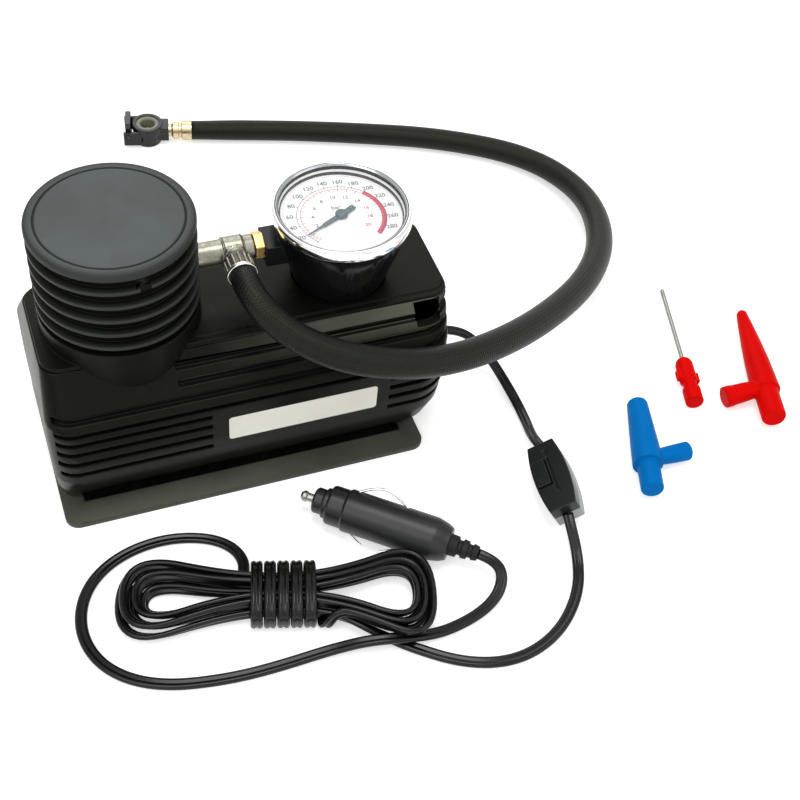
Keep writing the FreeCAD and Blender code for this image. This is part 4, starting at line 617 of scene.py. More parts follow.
hose_line = points_along(HOSE_ROUTE, HOSE_PER_CORNER)
hose_runs = distances(hose_line)
hose_angles = [2 * math.pi * k / HOSE_SIDES for k in range(HOSE_SIDES)]
hose_mesh = sweep(
    "air_hose", hose_line, [way.cross(UP) for way in headings(hose_line)],
    [(HOSE_DIAMETER / 2 * math.cos(a), HOSE_DIAMETER / 2 * math.sin(a)) for a in hose_angles],
    YARN_BUNDLE, [along_table(HOSE_FULLNESS, run / hose_runs[-1]) for run in hose_runs])
air_hose = add_piece("air_hose", hose_mesh, hose_cover, slot="hose_braid", stands_for=["hose"])
print("hose %.1f mm long" % (hose_runs[-1] * 1000))

# %% [markdown]
# ### The power cord
# The cord is a flat twin lead: two cores side by side under one vinyl skin,
# which reads as two round ridges with a groove between. So besides its route it
# has a wide direction, which lies flat on the floor on the free stretches,
# stands on edge at the hank's waist, leans outwards in its lobes and lies flat
# round the bundle in the wrap. A tilt on each spline point could carry that,
# but its meaning changes with the route. Instead a second spline runs a core's
# radius to the side of the first: wherever the two are read, the line from one
# to the other is the cord's wide way.
#
# The hank is five turns of eight corners. Each turn lies inside the one before
# until halfway, then the turns come out again on top of the first ones. A rule
# gives the corners, so the turns stay as evenly spaced as a wound cord's.
# %% Hank corners
HANK_MIDDLE = Vector((-0.0080, -0.1165, 0))
HANK_WAY = Vector((0.961, -0.276, 0)).normalized()
HANK_CROSS = Vector((-HANK_WAY.y, HANK_WAY.x, 0))
TURN_CORNERS, HANK_CORNERS, TURN_STEP = 8, 40, 0.0036
# Which of a turn's eight corners are in the right half, in a lobe, and on the far side.
ON_RIGHT, IN_LOBE, ON_FAR_SIDE = (0, 5, 6, 7), (2, 3, 6, 7), (3, 4, 5, 6)
WAIST, LOBE, LOBE_LEFT, REACH = 0.01025, 0.0285, 0.0262, 0.0710
WAIST_RIGHT, WAIST_LEFT, WAIST_SINK, WAIST_PACK = 0.0230, 0.0170, 0.0022, 0.80
LEFT_PINCH, LEFT_DRAW = 0.60, 0.45
SLOPE_RIGHT = math.atan((LOBE - WAIST) / (REACH - WAIST_RIGHT))
SLOPE_LEFT = math.atan((LOBE_LEFT - WAIST) / (REACH - WAIST_LEFT))
# For each kind of corner: the level below, the level on top, and the wide way's lean in degrees.
RIGHT_LOBE, LEFT_LOBE, AT_WAIST = (0.0040, 0.0088, 32), (0.0026, 0.0066, 62), (0.0057, 0.0112, 0)
HANK_START, HANK_START_LEVEL, START_LEAN = 0.038, 0.0058, 40
HANK_END = [(0.0335, -0.0122, 0.0114), (0.0262, -0.0130, 0.0122)]


def in_hank(along_way, across_way, level):
    return HANK_MIDDLE + HANK_WAY * along_way + HANK_CROSS * across_way + UP * level


def hank_corners():
    """Corner, and how far the wide way leans out from upright, for each turn of the hank."""
    start_across = -WAIST - (HANK_START - WAIST_RIGHT) * math.tan(SLOPE_RIGHT)
    out = [(in_hank(HANK_START, start_across, HANK_START_LEVEL), START_LEAN)]
    for k in range(HANK_CORNERS):
        inset = TURN_STEP * min(k, HANK_CORNERS - k) / TURN_CORNERS
        place = k % TURN_CORNERS
        right, lobe = place in ON_RIGHT, place in IN_LOBE
        sign = 1 if place in ON_FAR_SIDE else -1
        slope = SLOPE_RIGHT if right else SLOPE_LEFT
        if lobe:
            across_way = (LOBE if right else LOBE_LEFT) - inset * (
                math.tan(slope) + 1 / math.cos(slope))
            along_way = REACH - inset
            if not right:
                across_way -= inset * LEFT_PINCH
                along_way -= inset * LEFT_DRAW
            below, above, lean = RIGHT_LOBE if right else LEFT_LOBE
        else:
            across_way = WAIST - WAIST_SINK - inset * WAIST_PACK
            along_way = (WAIST_RIGHT if right else WAIST_LEFT) + inset * math.tan(slope / 2)
            below, above, lean = AT_WAIST
        level = above if k > HANK_CORNERS / 2 else below
        out.append((in_hank(along_way if right else -along_way, sign * across_way, level), lean))
    return out + [(in_hank(*corner), 0) for corner in HANK_END]


print("corners of the hank:", len(hank_corners()))

# %% [markdown]
# The same cord then goes round the waist and holds the hank together. Each lap
# steps along the hank while it passes underneath, where it doesn't show, so
# that the laps lie straight side by side on top.
# %% Wrap corners
LAPS, LAP_PITCH, FIRST_LAP, LAP_CROSSING = 6, 0.00595, 0.0209, 0.0060
WRAP_HALF, WRAP_LOW, WRAP_TOP = 0.0146, 0.0014, 0.0163


def wrap_corners():
    """Five laps round the waist and a sixth pass under it: bottom, far side, top, near side."""
    out, x = [], FIRST_LAP
    for lap in range(LAPS):
        out.append(in_hank(x, -WRAP_HALF, WRAP_LOW))
        out.append(in_hank(x, -LAP_CROSSING, WRAP_LOW))
        x -= LAP_PITCH
        out.append(in_hank(x, LAP_CROSSING, WRAP_LOW))
        out.append(in_hank(x, WRAP_HALF, WRAP_LOW))
        if lap < LAPS - 1:
            out.append(in_hank(x, WRAP_HALF, WRAP_TOP))
            out.append(in_hank(x, -WRAP_HALF, WRAP_TOP))
    return out


print("corners of the wrap:", len(wrap_corners()))

# %% [markdown]
# The free stretches have no rule, so their corners are a list: the lead from
# the housing to the switch, the middle from the switch to the hank, and the
# tail from the wrap round the hank to the plug.
# %% Cord routes
LEAD_ROUTE = [
    (0.1151, 0.0, 0.0270), (0.1235, -0.0010, 0.0256), (0.1325, -0.0056, 0.0196),
    (0.1393, -0.0142, 0.0112), (0.1434, -0.0265, 0.0046), (0.1450, -0.0400, 0.0017),
    (0.1440, -0.0525, 0.0026), (0.1419, -0.0614, 0.0056), (0.1407, -0.0692, 0.0092),
    (0.14143, -0.07705, 0.01093),
]
MID_ROUTE = [
    (0.1366, -0.1158, 0.01093), (0.1357, -0.1232, 0.0086), (0.1352, -0.1308, 0.0046),
    (0.1332, -0.1392, 0.0018), (0.1290, -0.1486, 0.0014), (0.1218, -0.1584, 0.0014),
    (0.1115, -0.1676, 0.0014), (0.0993, -0.1738, 0.0014), (0.0862, -0.1764, 0.0014),
    (0.0726, -0.1747, 0.0014), (0.0592, -0.1689, 0.0014), (0.0474, -0.1604, 0.0014),
    (0.0360, -0.1514, 0.0019),
]
TAIL_ROUTE = [
    (-0.0160, -0.0910, 0.0014), (-0.0186, -0.0826, 0.0014), (-0.0258, -0.0756, 0.0014),
    (-0.0366, -0.0710, 0.0014), (-0.0490, -0.0689, 0.0014), (-0.0630, -0.0702, 0.0014),
    (-0.0766, -0.0756, 0.0014), (-0.0870, -0.0849, 0.0014), (-0.0930, -0.0976, 0.0014),
    (-0.0938, -0.1118, 0.0014), (-0.0888, -0.1254, 0.0014), (-0.0786, -0.1360, 0.0014),
    (-0.0646, -0.1430, 0.0014), (-0.0480, -0.1466, 0.0014), (-0.0300, -0.1484, 0.0014),
    (-0.0115, -0.1483, 0.0015), (0.0070, -0.1478, 0.0022), (0.0235, -0.1506, 0.0066),
    (0.0395, -0.1538, 0.0064), (0.0560, -0.1544, 0.0024), (0.0713, -0.1518, 0.0015),
    (0.0836, -0.1476, 0.0019), (0.0920, -0.1416, 0.0038), (0.0952, -0.1344, 0.0072),
    (0.0916, -0.1284, 0.0100), (0.08675, -0.1244, 0.0104),
]
FLAT, INTO_HANK = 90, 75
lead_route = [(Vector(p), FLAT) for p in LEAD_ROUTE]
into_hank = [(Vector(p), FLAT) for p in MID_ROUTE[:-1]] + [(Vector(MID_ROUTE[-1]), INTO_HANK)]
into_wrap = into_hank + hank_corners()
out_of_wrap = into_wrap + [(corner, FLAT) for corner in wrap_corners()]
long_route = out_of_wrap + [(Vector(p), FLAT) for p in TAIL_ROUTE]
wrap_range = range(len(into_wrap), len(out_of_wrap))
print("corners of the long cord:", len(long_route))

# %% [markdown]
# The section is two arcs that meet in the web between the cores. It is swept
# along the line like the hose's, but turned into the cord's wide way.
# %% Cord
CORE_RADIUS, CORE_APART, CORE_STEPS, CORE_ARC = 0.0014, 0.00135, 8, math.radians(142)
SKIN_LENGTH = 0.0056


def wide_ways(route, wrapped):
    """The cord's wide direction at each corner: upright, leaning out, or along the hank."""
    ways = []
    for i, (corner, lean) in enumerate(route):
        if i in wrapped:
            ways.append(-HANK_WAY)
            continue
        way = route[min(i + 1, len(route) - 1)][0] - route[max(i - 1, 0)][0]
        outward = UP.cross(way).normalized()
        ways.append(UP * math.cos(math.radians(lean)) + outward * math.sin(math.radians(lean)))
    return ways


def twin_ring():
    """The section of a twin flat cord: two round cores with a web between."""
    ring = []
    for side in (1, -1):
        for k in range(CORE_STEPS + 1):
            angle = -CORE_ARC + 2 * CORE_ARC * k / CORE_STEPS
            ring.append((side * (CORE_APART + CORE_RADIUS * math.cos(angle)),
                         side * CORE_RADIUS * math.sin(angle)))
    return ring


def twin_cord(name, route, stands_for, wrapped=range(0)):
    """Sweep the twin section along a route of corners and leans."""
    ways = wide_ways(route, wrapped)
    middle = points_along([corner for corner, lean in route])
    edge = points_along([corner + way * CORE_RADIUS for (corner, lean), way in zip(route, ways)])
    sides = [e - m for m, e in zip(middle, edge)]
    mesh = sweep(name, middle, sides, twin_ring(), SKIN_LENGTH)
    print("%s %.1f mm long" % (name, distances(middle)[-1] * 1000))
    return add_piece(name, mesh, cord_black, slot="cord_vinyl", stands_for=stands_for), middle


lead_cord, lead_line = twin_cord("lead_cord", lead_route, ["cord_lead"])
power_cord, power_line = twin_cord(
    "power_cord", long_route, ["cord_mid", "cord_hank", "cord_wrap", "cord_tail"], wrap_range)

# %% [markdown]
# ## Softened edges
# No moulded or turned edge is a perfect corner: each has a small radius that
# catches a line of light. A Bevel modifier on the CAD solid would round the
# edges of its loose triangles too. The copy below first melts flat triangles
# into whole faces, then rounds every edge that is sharper than a limit, and
# weights the normals by face size so that the flats stay flat.
# %% Softened copies of CAD solids
CAD_WELD, FLAT_ANGLE, SHARP_ANGLE = 2e-6, math.radians(0.4), math.radians(34)
BEVEL_STEPS, KEPT_SHARE, FACE_WEIGHT = 2, 0.55, 80


def made_plain(holder):
    """The holder's mesh with its modifiers carried out; the holder itself goes away."""
    bpy.context.scene.collection.objects.link(holder)
    graph = bpy.context.evaluated_depsgraph_get()
    mesh = bpy.data.meshes.new_from_object(holder.evaluated_get(graph), depsgraph=graph)
    bpy.data.objects.remove(holder)
    return mesh


def kept_close(work, skin, reach):
    """Draw back any corner that a bevel threw off the CAD solid's own surface."""
    moved = 0
    for vertex in work.verts:
        spot, _, _, away = skin.find_nearest(vertex.co)
        if away > reach:
            vertex.co = spot
            moved += 1
    return moved


HALF_LENGTH, HALF_WIDTH, CAD_CORNER, PHOTO_CORNER = 0.0890, 0.0507, 0.0120, 0.0065


def tighten_corners(work):
    """Give the plate the tighter corners of the photograph, inside the CAD solid's box."""
    flat = CAD_CORNER - PHOTO_CORNER
    for vertex in work.verts:
        x = abs(vertex.co.x) - (HALF_LENGTH - CAD_CORNER)
        y = abs(vertex.co.y) - (HALF_WIDTH - CAD_CORNER)
        if x <= 0 or y <= 0:
            continue
        way = Vector((x, y)).normalized()
        if min(way) * CAD_CORNER < flat * max(way):
            reach = CAD_CORNER / max(way)
        else:
            across = flat * (way.x + way.y)
            reach = across + math.sqrt(across ** 2 - 2 * flat ** 2 + PHOTO_CORNER ** 2)
        grow = reach / CAD_CORNER - 1
        vertex.co.x += math.copysign(x * grow, vertex.co.x)
        vertex.co.y += math.copysign(y * grow, vertex.co.y)


def softened(node, material, width, body=HOME):
    """A copy of a CAD solid with rounded edges, which stands for its node."""
    work = bmesh.new()
    work.from_mesh(nodes[node].data)
    bmesh.ops.remove_doubles(work, verts=work.verts, dist=CAD_WELD)
    bmesh.ops.dissolve_limit(work, angle_limit=FLAT_ANGLE, verts=work.verts, edges=work.edges)
    skin = BVHTree.FromBMesh(work)
    sharp = [e for e in work.edges if len(e.link_faces) == 2
             and e.calc_face_angle(0) > SHARP_ANGLE]
    bmesh.ops.bevel(work, geom=sharp, offset=width, offset_type="OFFSET", segments=BEVEL_STEPS,
                    profile=0.5, affect="EDGES", clamp_overlap=False)
    moved = kept_close(work, skin, width * KEPT_SHARE)
    bmesh.ops.remove_doubles(work, verts=work.verts, dist=CAD_WELD)
    for face in work.faces:
        face.smooth = True
    if node == "base_plate":
        tighten_corners(work)
    mesh = bpy.data.meshes.new(node + "_soft")
    work.to_mesh(mesh)
    work.free()
    holder = bpy.data.objects.new(node + "_holder", mesh)
    weighted = holder.modifiers.new("weighted", "WEIGHTED_NORMAL")
    weighted.weight = FACE_WEIGHT
    print("%-18s %4d corners drawn back" % (node, moved))
    return add_piece(node + "_shape", made_plain(holder), material, body, stands_for=[node])


for part, finish, width, body in (
        ("base_plate", base_black, 0.00045, HOME), ("housing_shell", housing_black, 0.0005, HOME),
        ("tower_fins", fin_black, 0.0004, HOME), ("tower_cap", cap_black, 0.0005, HOME),
        ("gauge_can", can_black, 0.0004, HOME), ("gauge_nut", brass, 0.0004, HOME),
        ("outlet_tube", nickel, 0.0009, HOME), ("chuck_body", chuck_black, 0.0005, HOME),
        ("switch_upper", switch_black, 0.0005, HOME), ("switch_lower", switch_grey, 0.0005, HOME),
        ("plug_body", plug_black, 0.0004, HOME), ("plug_nose", plug_black, 0.0003, HOME),
        ("chuck_lever", lever_black, 0.0004, "lever_unit"),
        ("switch_rocker", switch_black, 0.0004, "rocker_unit"),
        ("needle_hub", red_plastic, 0.0004, "ball_needle"),
        ("cone_nozzle_red", red_plastic, 0.0004, "red_nozzle"),
        ("cone_nozzle_blue", blue_plastic, 0.0004, "blue_nozzle")):
    softened(part, finish, width, body)

# %% [markdown]
# ## Copies on a ring
# Dial ticks and the flutes of the hose ferrule are one shape repeated round a
# circle. A Geometry Nodes tree does that: it takes one bar, already standing at
# its radius on the X axis, and turns a copy of it by an equal step each time.
# An Array modifier with a turned empty would do it too, but needs one more
# object for each ring.
# %% Ring tree
ring_tree = bpy.data.node_groups.new("ring of copies", "GeometryNodeTree")
for label, kind in (("Geometry", "Geometry"), ("Count", "Int"), ("Start", "Float"),
                    ("Step", "Float"), ("Finish", "Material")):
    ring_tree.interface.new_socket(label, in_out="INPUT", socket_type="NodeSocket" + kind)
ring_tree.interface.new_socket("Geometry", in_out="OUTPUT", socket_type="NodeSocketGeometry")
given = ring_tree.nodes.new("NodeGroupInput").outputs
spots = node_in(ring_tree, "GeometryNodePoints", {"Count": given["Count"]})
number = node_in(ring_tree, "GeometryNodeInputIndex")
turned_by = calculated(ring_tree, "MULTIPLY_ADD", number.outputs[0], given["Step"],
                       given["Start"])
about_axis = node_in(ring_tree, "ShaderNodeCombineXYZ", {2: turned_by})
rotation = node_in(ring_tree, "FunctionNodeEulerToRotation", {0: about_axis.outputs[0]})
copies = node_in(ring_tree, "GeometryNodeInstanceOnPoints", {
    "Points": spots.outputs[0], "Instance": given["Geometry"], "Rotation": rotation.outputs[0]})
real = node_in(ring_tree, "GeometryNodeRealizeInstances", {0: copies.outputs[0]})
finished = node_in(ring_tree, "GeometryNodeSetMaterial", {
    "Geometry": real.outputs[0], "Material": given["Finish"]})
node_in(ring_tree, "NodeGroupOutput", {0: finished.outputs[0]})


def ring_of(bar, count, start, step, material, matrix):
    """A plain mesh of equal copies of a bar, turned about Z and then put in place."""
    holder = bpy.data.objects.new("ring_holder", bar)
    modifier = holder.modifiers.new("ring", "NODES")
    modifier.node_group = ring_tree
    values = {"Count": count, "Start": start, "Step": step, "Finish": material}
    for item in ring_tree.interface.items_tree:
        if item.in_out == "INPUT" and item.name in values:
            modifier[item.identifier] = values[item.name]
    mesh = made_plain(holder)
    mesh.transform(matrix)
    return mesh


def slab(name, outline, low, high):
    """A flat outline of (x, y) points, given thickness from one level to another."""
    count = len(outline)
    corners = [(x, y, low) for x, y in outline] + [(x, y, high) for x, y in outline]
    faces = [tuple(range(count))[::-1], tuple(range(count, 2 * count))]
    faces += [(k, (k + 1) % count, count + (k + 1) % count, count + k) for k in range(count)]
    mesh = mesh_from(name, corners, faces)
    face_outwards(mesh, WELD)
    return mesh


def joined(name, meshes):
    work = bmesh.new()
    for mesh in meshes:
        work.from_mesh(mesh)
    whole = bpy.data.meshes.new(name)
    work.to_mesh(whole)
    work.free()
    return whole


# %% [markdown]
# ## The gauge's face
# Two scales share the dial: an outer one to 300 and an inner one to 20. Their
# zero marks meet at the lower left, and both run clockwise. The numbers stand
# upright, turned a few degrees with the dial, as the gauge was screwed in. The
# print is real shape, a hair thick, and not a picture: it stays crisp from near.
# %% Numbers on the dial
GAUGE = Vector((0.0559, 0.0, 0.0))
ON_GAUGE = Matrix.Translation(GAUGE)
DIAL_LEVEL, PRINT, INK_SPREAD = 0.118, 0.00006, 0.00008
ZERO_ANGLE, OUTER_STEP, INNER_STEP = (math.radians(a) for a in (221.5, 0.904, 13.1))
DIAL_TURN, BAR_ANGLE = math.radians(-4.2), math.radians(96)
OUTER_SIZE, OUTER_RADIUS, BAR_RADIUS = 0.0034, 0.0234, 0.0062
INNER_SIZE, INNER_RADIUS = 0.0029, 0.0130
ON_DIAL = Matrix.Translation(GAUGE + UP * DIAL_LEVEL)


def numeral(text, size, radius, angle):
    """A printed number as a thin mesh, upright on the dial at a radius and angle."""
    data = bpy.data.curves.new("numeral", "FONT")
    data.body, data.size = text, size
    data.align_x, data.align_y = "CENTER", "CENTER"
    data.extrude, data.offset, data.resolution_u = PRINT / 2, INK_SPREAD, 3
    holder = bpy.data.objects.new("numeral", data)
    mesh = bpy.data.meshes.new_from_object(holder)
    bpy.data.objects.remove(holder)
    place = GAUGE + Vector((radius * math.cos(angle), radius * math.sin(angle), DIAL_LEVEL))
    mesh.transform(Matrix.Translation(place) @ Matrix.Rotation(DIAL_TURN, 4, "Z"))
    return mesh


def inner_numerals(first, last):
    return [numeral(str(n), INNER_SIZE, INNER_RADIUS, ZERO_ANGLE - n * INNER_STEP)
            for n in range(first, last + 1, 2)]


outer_numbers = [numeral(str(n), OUTER_SIZE, OUTER_RADIUS, ZERO_ANGLE - n * OUTER_STEP)
                 for n in range(20, 300, 20)]
inner_numbers = inner_numerals(2, 14)
red_numbers = inner_numerals(16, 20)
outer_numbers.append(numeral("bar", OUTER_SIZE, BAR_RADIUS, BAR_ANGLE))
print("dial numbers:", len(outer_numbers) + len(inner_numbers) + len(red_numbers))

# %% [markdown]
# The ticks are bars that the ring tree repeats, and the circles are thin arcs.
# They are printed like the numbers, and as thin.
# %% Ticks and circles
def dial_ring(inner, outer, first, last, steps=120):
    """A printed arc on the dial, a hair thick, between two angles in degrees."""
    start, end = math.radians(first), math.radians(last)
    corners, faces = [], []
    for i in range(steps + 1):
        angle = start + (end - start) * i / steps
        for radius, level in ((inner, -PRINT), (outer, -PRINT), (outer, PRINT), (inner, PRINT)):
            corners.append((radius * math.cos(angle), radius * math.sin(angle), level))
    for i in range(steps):
        for k in range(4):
            m = (k + 1) % 4
            faces.append((4 * i + k, 4 * i + 4 + k, 4 * i + 4 + m, 4 * i + m))
    faces += [(0, 1, 2, 3), tuple(4 * steps + k for k in (3, 2, 1, 0))]
    mesh = mesh_from("dial_ring", corners, faces)
    mesh.transform(ON_DIAL)
    face_outwards(mesh, WELD)
    return mesh


def ticks(inner, outer, width, count, step, ink, start=ZERO_ANGLE):
    """Printed ticks between two radii, an equal angle apart."""
    bar = slab("tick", [(inner, -width / 2), (outer, -width / 2), (outer, width / 2),
                        (inner, width / 2)], -PRINT, PRINT)
    return ring_of(bar, count, start, step, ink, ON_DIAL)


fine_ticks = ticks(0.0191, 0.0202, 0.00022, 61, -5 * OUTER_STEP, ink_grey)
long_ticks = ticks(0.0202, 0.0214, 0.00032, 16, -20 * OUTER_STEP, ink_grey)
bar_ticks = ticks(0.0170, 0.0185, 0.00030, 21, -INNER_STEP, ink_grey)
half_ticks = ticks(0.0176, 0.0185, 0.00020, 40, -INNER_STEP / 2, ink_red,
                   ZERO_ANGLE - INNER_STEP / 2)
for name, meshes, ink in (
        ("dial_numbers", outer_numbers + inner_numbers, ink_grey),
        ("dial_ticks", [fine_ticks, long_ticks, bar_ticks], ink_grey),
        ("dial_red_ticks", red_numbers + [half_ticks], ink_red),
        ("dial_circle", [dial_ring(0.02015, 0.02040, -50, 222)], ink_grey),
        ("dial_red_circle", [dial_ring(0.01842, 0.01868, -50, 222)], ink_red),
        ("dial_red_zone", [dial_ring(0.0186, 0.0208, -49, 42)], ink_zone)):
    add_piece(name, joined(name, meshes), ink, slot="dial_white", smooth=False)

# %% [markdown]
# ## Turned pieces
# The pointer's boss, the bezel and the ferrule are turned: a profile of (radius,
# height) points goes round an axis as on a lathe. Blender's Screw modifier could
# do it, but a plain loop also closes the poles on the axis. Each corner of the
# profile is rounded first, because no turned edge is quite sharp.
# %% Lathe
ON_AXIS, NEARLY_STRAIGHT, SHARE_OF_SIDE = 1e-7, 2.9, 0.45


def lathe(name, profile, segments, matrix=None):
    """Turn a list of (radius, height) points round Z; points on the axis close it."""
    corners, rings, faces = [], [], []
    for radius, height in profile:
        if radius < ON_AXIS:
            rings.append([len(corners)])
            corners.append(Vector((0, 0, height)))
            continue
        rings.append(list(range(len(corners), len(corners) + segments)))
        for i in range(segments):
            angle = 2 * math.pi * i / segments
            corners.append(Vector((radius * math.cos(angle), radius * math.sin(angle), height)))
    for low, high in zip(rings, rings[1:] + rings[:1]):
        if len(low) == 1 and len(high) == 1:
            continue
        for i in range(segments):
            j = (i + 1) % segments
            if len(low) == 1:
                faces.append((low[0], high[j], high[i]))
            elif len(high) == 1:
                faces.append((low[i], low[j], high[0]))
            else:
                faces.append((low[i], low[j], high[j], high[i]))
    mesh = mesh_from(name, corners, faces)
    if matrix is not None:
        mesh.transform(matrix)
    face_outwards(mesh, WELD)
    return mesh


def rounded(profile, radius, steps):
    """Round a turned profile's corners by a small radius."""
    out = []
    count = len(profile)
    for i, (r, z) in enumerate(profile):
        before, after = Vector(profile[i - 1]), Vector(profile[(i + 1) % count])
        here = Vector((r, z))
        a, b = before - here, after - here
        if r < ON_AXIS or a.length < WELD or b.length < WELD or a.angle(b) > NEARLY_STRAIGHT:
            out.append((r, z))
            continue
        cut = min(radius, a.length * SHARE_OF_SIDE, b.length * SHARE_OF_SIDE)
        start, end = here + a.normalized() * cut, here + b.normalized() * cut
        for k in range(steps + 1):
            t = k / steps
            point = (1 - t) ** 2 * start + 2 * t * (1 - t) * here + t ** 2 * end
            out.append((max(point.x, 0.0), point.y))
    return out


def turned_piece(name, profile, material, place, radius, steps=2, segments=160, **more):
    """A piece turned from a profile whose corners are rounded."""
    mesh = lathe(name, rounded(profile, radius, steps), segments, place)
    return add_piece(name, mesh, material, **more)


# %% [markdown]
# The pointer is a stamped strip with a blunt tail, on a turned boss. Its bar is
# broad to half its reach and then narrows to a fine needle. One side of the
# outline is listed, and the other mirrors it.
# %% Pointer
POINTER_TURN, POINTER_TIP = math.radians(207), (0.0210, 0.0)
BAR_LOW, BAR_HIGH = 0.1190, 0.1195
bar_side = [(-0.0080, 0.00125), (-0.0078, 0.0014), (0.0, 0.0012), (0.0112, 0.0009),
            (0.0118, 0.0005), (0.0206, 0.0002)]
bar_outline = [(x, -y) for x, y in bar_side] + [POINTER_TIP] + bar_side[::-1]
pointer_bar = slab("pointer_bar", bar_outline, BAR_LOW, BAR_HIGH)
pointer_boss = lathe("pointer_boss", rounded([
    (0, 0.112), (0.0008, 0.112), (0.0008, 0.1189), (0.0029, 0.1189), (0.0029, 0.1198),
    (0.0024, 0.1203), (0.0012, 0.1203), (0.0010, 0.1200), (0, 0.1200)], 0.0002, 2), 48)
pointer_mesh = joined("pointer_blade", [pointer_bar, pointer_boss])
pointer_mesh.transform(ON_GAUGE @ Matrix.Rotation(POINTER_TURN, 4, "Z"))
add_piece("pointer_blade", pointer_mesh, pointer_paint, body="pointer_unit",
          slot="pointer_blue", stands_for=["gauge_pointer"], smooth=False)
print("pointer %.1f mm long" % ((POINTER_TIP[0] - bar_side[0][0]) * 1000))

# %% [markdown]
# The bezel is a rolled ring of chromed sheet: a bright round lip outside, a shadow line where it
# folds, and a slope down to the lens whose chrome is painted darker, as a painted reflection of a
# dark surround. Under the lens a white ring fills the gap between the bezel and the dial. All of
# them are turned, as the real ones are, so a short profile says it all.
# %% Bezel
turned_piece("bezel_lip", [
    (0.0303, 0.1193), (0.0319, 0.1193), (0.0322, 0.1197), (0.0322, 0.1222), (0.0320, 0.1233),
    (0.0315, 0.1241), (0.0308, 0.1245), (0.0303, 0.1243), (0.0301, 0.1239), (0.0300, 0.1232),
    (0.0300, 0.1204), (0.0303, 0.1204)], chrome, ON_GAUGE, 0.0003, 3, slot="bezel_chrome",
    stands_for=["gauge_bezel"])
# The slope's chrome is painted darker, a painted reflection.
turned_piece("bezel_slope", [
    (0.0300, 0.1206), (0.0300, 0.1239), (0.0298, 0.12415), (0.0295, 0.1241), (0.0289, 0.1235),
    (0.0287, 0.1232), (0.0287, 0.1230), (0.0300, 0.1230)], chrome_darkened, ON_GAUGE, 0.00012,
    slot="bezel_chrome")


def ring_section(inner, outer, low, high):
    return [(inner, low), (outer, low), (outer, high), (inner, high)]


def shadow_line(name, *limits):
    turned_piece(name, ring_section(*limits), fold_black, ON_GAUGE, 0.00005, 1,
                 slot="bezel_chrome")


shadow_line("bezel_fold", 0.02985, 0.03025, 0.1236, 0.12415)
shadow_line("bezel_seat", 0.02855, 0.02885, 0.12305, 0.12335)
turned_piece("dial_rim", [
    (0.0274, 0.1179), (0.0289, 0.1179), (0.0289, 0.12135), (0.0285, 0.12135), (0.0277, 0.1189),
    (0.0274, 0.1187)], rim_white, ON_GAUGE, 0.00015, slot="dial_white")
shadow_line("dial_rim_line", 0.02790, 0.02815, 0.1190, 0.1200)

# %% [markdown]
# ## Cap groove
# A groove runs round the tower's cap. A thin dark ring of painted shade fills the groove from its
# floor to just under its edge.
# %% Cap groove
CAP_LEVEL, CAP_RING, SHADE_HALF, SHADE_FLOOR, SHADE_TOP = 0.1414, 0.0315, 0.0005, 0.0008, 0.0001
# Painted shade: a dark ring standing for the shade in the cap's groove.
turned_piece("cap_groove_shade", ring_section(
    CAP_RING - SHADE_HALF, CAP_RING + SHADE_HALF, CAP_LEVEL - SHADE_FLOOR, CAP_LEVEL - SHADE_TOP),
    groove_shade, Matrix.Translation(TOWER_AXIS), 0.0001, 1)

# %% [markdown]
# ## Ferrule
# The ferrule holds the hose on the side branch. The jaws that crimped it left
# fourteen flutes with dark slots between, and a bright rolled edge towards the
# hose. The flutes are bars on the ring tree; slots would need a Boolean each.
# %% Ferrule
BRANCH = Vector((0.005, 0.0, 0.110))
FLUTES, FLUTE_RING = 14, 0.0061
RIM_INNER, RIM_OUTER, RIM_LENGTH = 0.0061, 0.00695, 0.0018


def facing_frame(origin, along):
    """A matrix whose Z runs along a level direction, with X as near as can be to up."""
    z = Vector(along).normalized()
    y = z.cross(UP).normalized()
    return Matrix.Translation(origin) @ Matrix((y.cross(z), y, z)).transposed().to_4x4()


TOWARDS_HOSE = facing_frame(BRANCH, (0, -1, 0))
low_box, high_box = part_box("hose_ferrule")
near_end, far_end = -high_box[1], -low_box[1]
turned_piece("ferrule_sleeve", [
    (0.0044, near_end), (0.0060, near_end), (0.0066, near_end + 0.0008),
    (0.0066, near_end + 0.0016), (0.0061, near_end + 0.0022), (0.0061, far_end - 0.0022),
    (0.0069, far_end - 0.0017), (0.0069, far_end - 0.0002), (0.0066, far_end),
    (0.0044, far_end)], crimp_metal, TOWARDS_HOSE, 0.0003, 3, 96, slot="nickel",
    stands_for=["hose_ferrule"])
flute_top, flute_low = far_end - 0.0017, near_end + 0.0016
flute = lathe("flute", rounded([
    (0, flute_low), (0.0006, flute_low), (0.0007, flute_low + 0.0006),
    (0.0007, flute_top - 0.0004), (0.0006, flute_top), (0, flute_top)], 0.0002, 2), 12)
flute.transform(Matrix.Translation((FLUTE_RING, 0, 0)))
add_piece("ferrule_flutes", ring_of(flute, FLUTES, 0.0, 2 * math.pi / FLUTES, nickel,
                                    TOWARDS_HOSE), nickel, slot="nickel")
turned_piece("ferrule_rim", ring_section(RIM_INNER, RIM_OUTER, far_end - RIM_LENGTH, far_end),
             rolled_rim, TOWARDS_HOSE, 0.0004, 3, 96, slot="nickel")
print("ferrule from %.4f to %.4f along the branch" % (near_end, far_end))

# %% [markdown]
# ## Blank sticker
# A cream sticker lies on the plain panel of the front. It is left blank here.
# As a thin slab of its own it has a real edge, which a colour on the housing
# would lack.
# %% Sticker
STICKER_LEFT, STICKER_RIGHT, STICKER_LOW, STICKER_HIGH = -0.010, 0.062, 0.0355, 0.0505
FRONT_WALL, STICKER_CORNER, STICKER_THICKNESS, CORNER_STEPS = 0.0461, 0.0016, 0.00012, 4


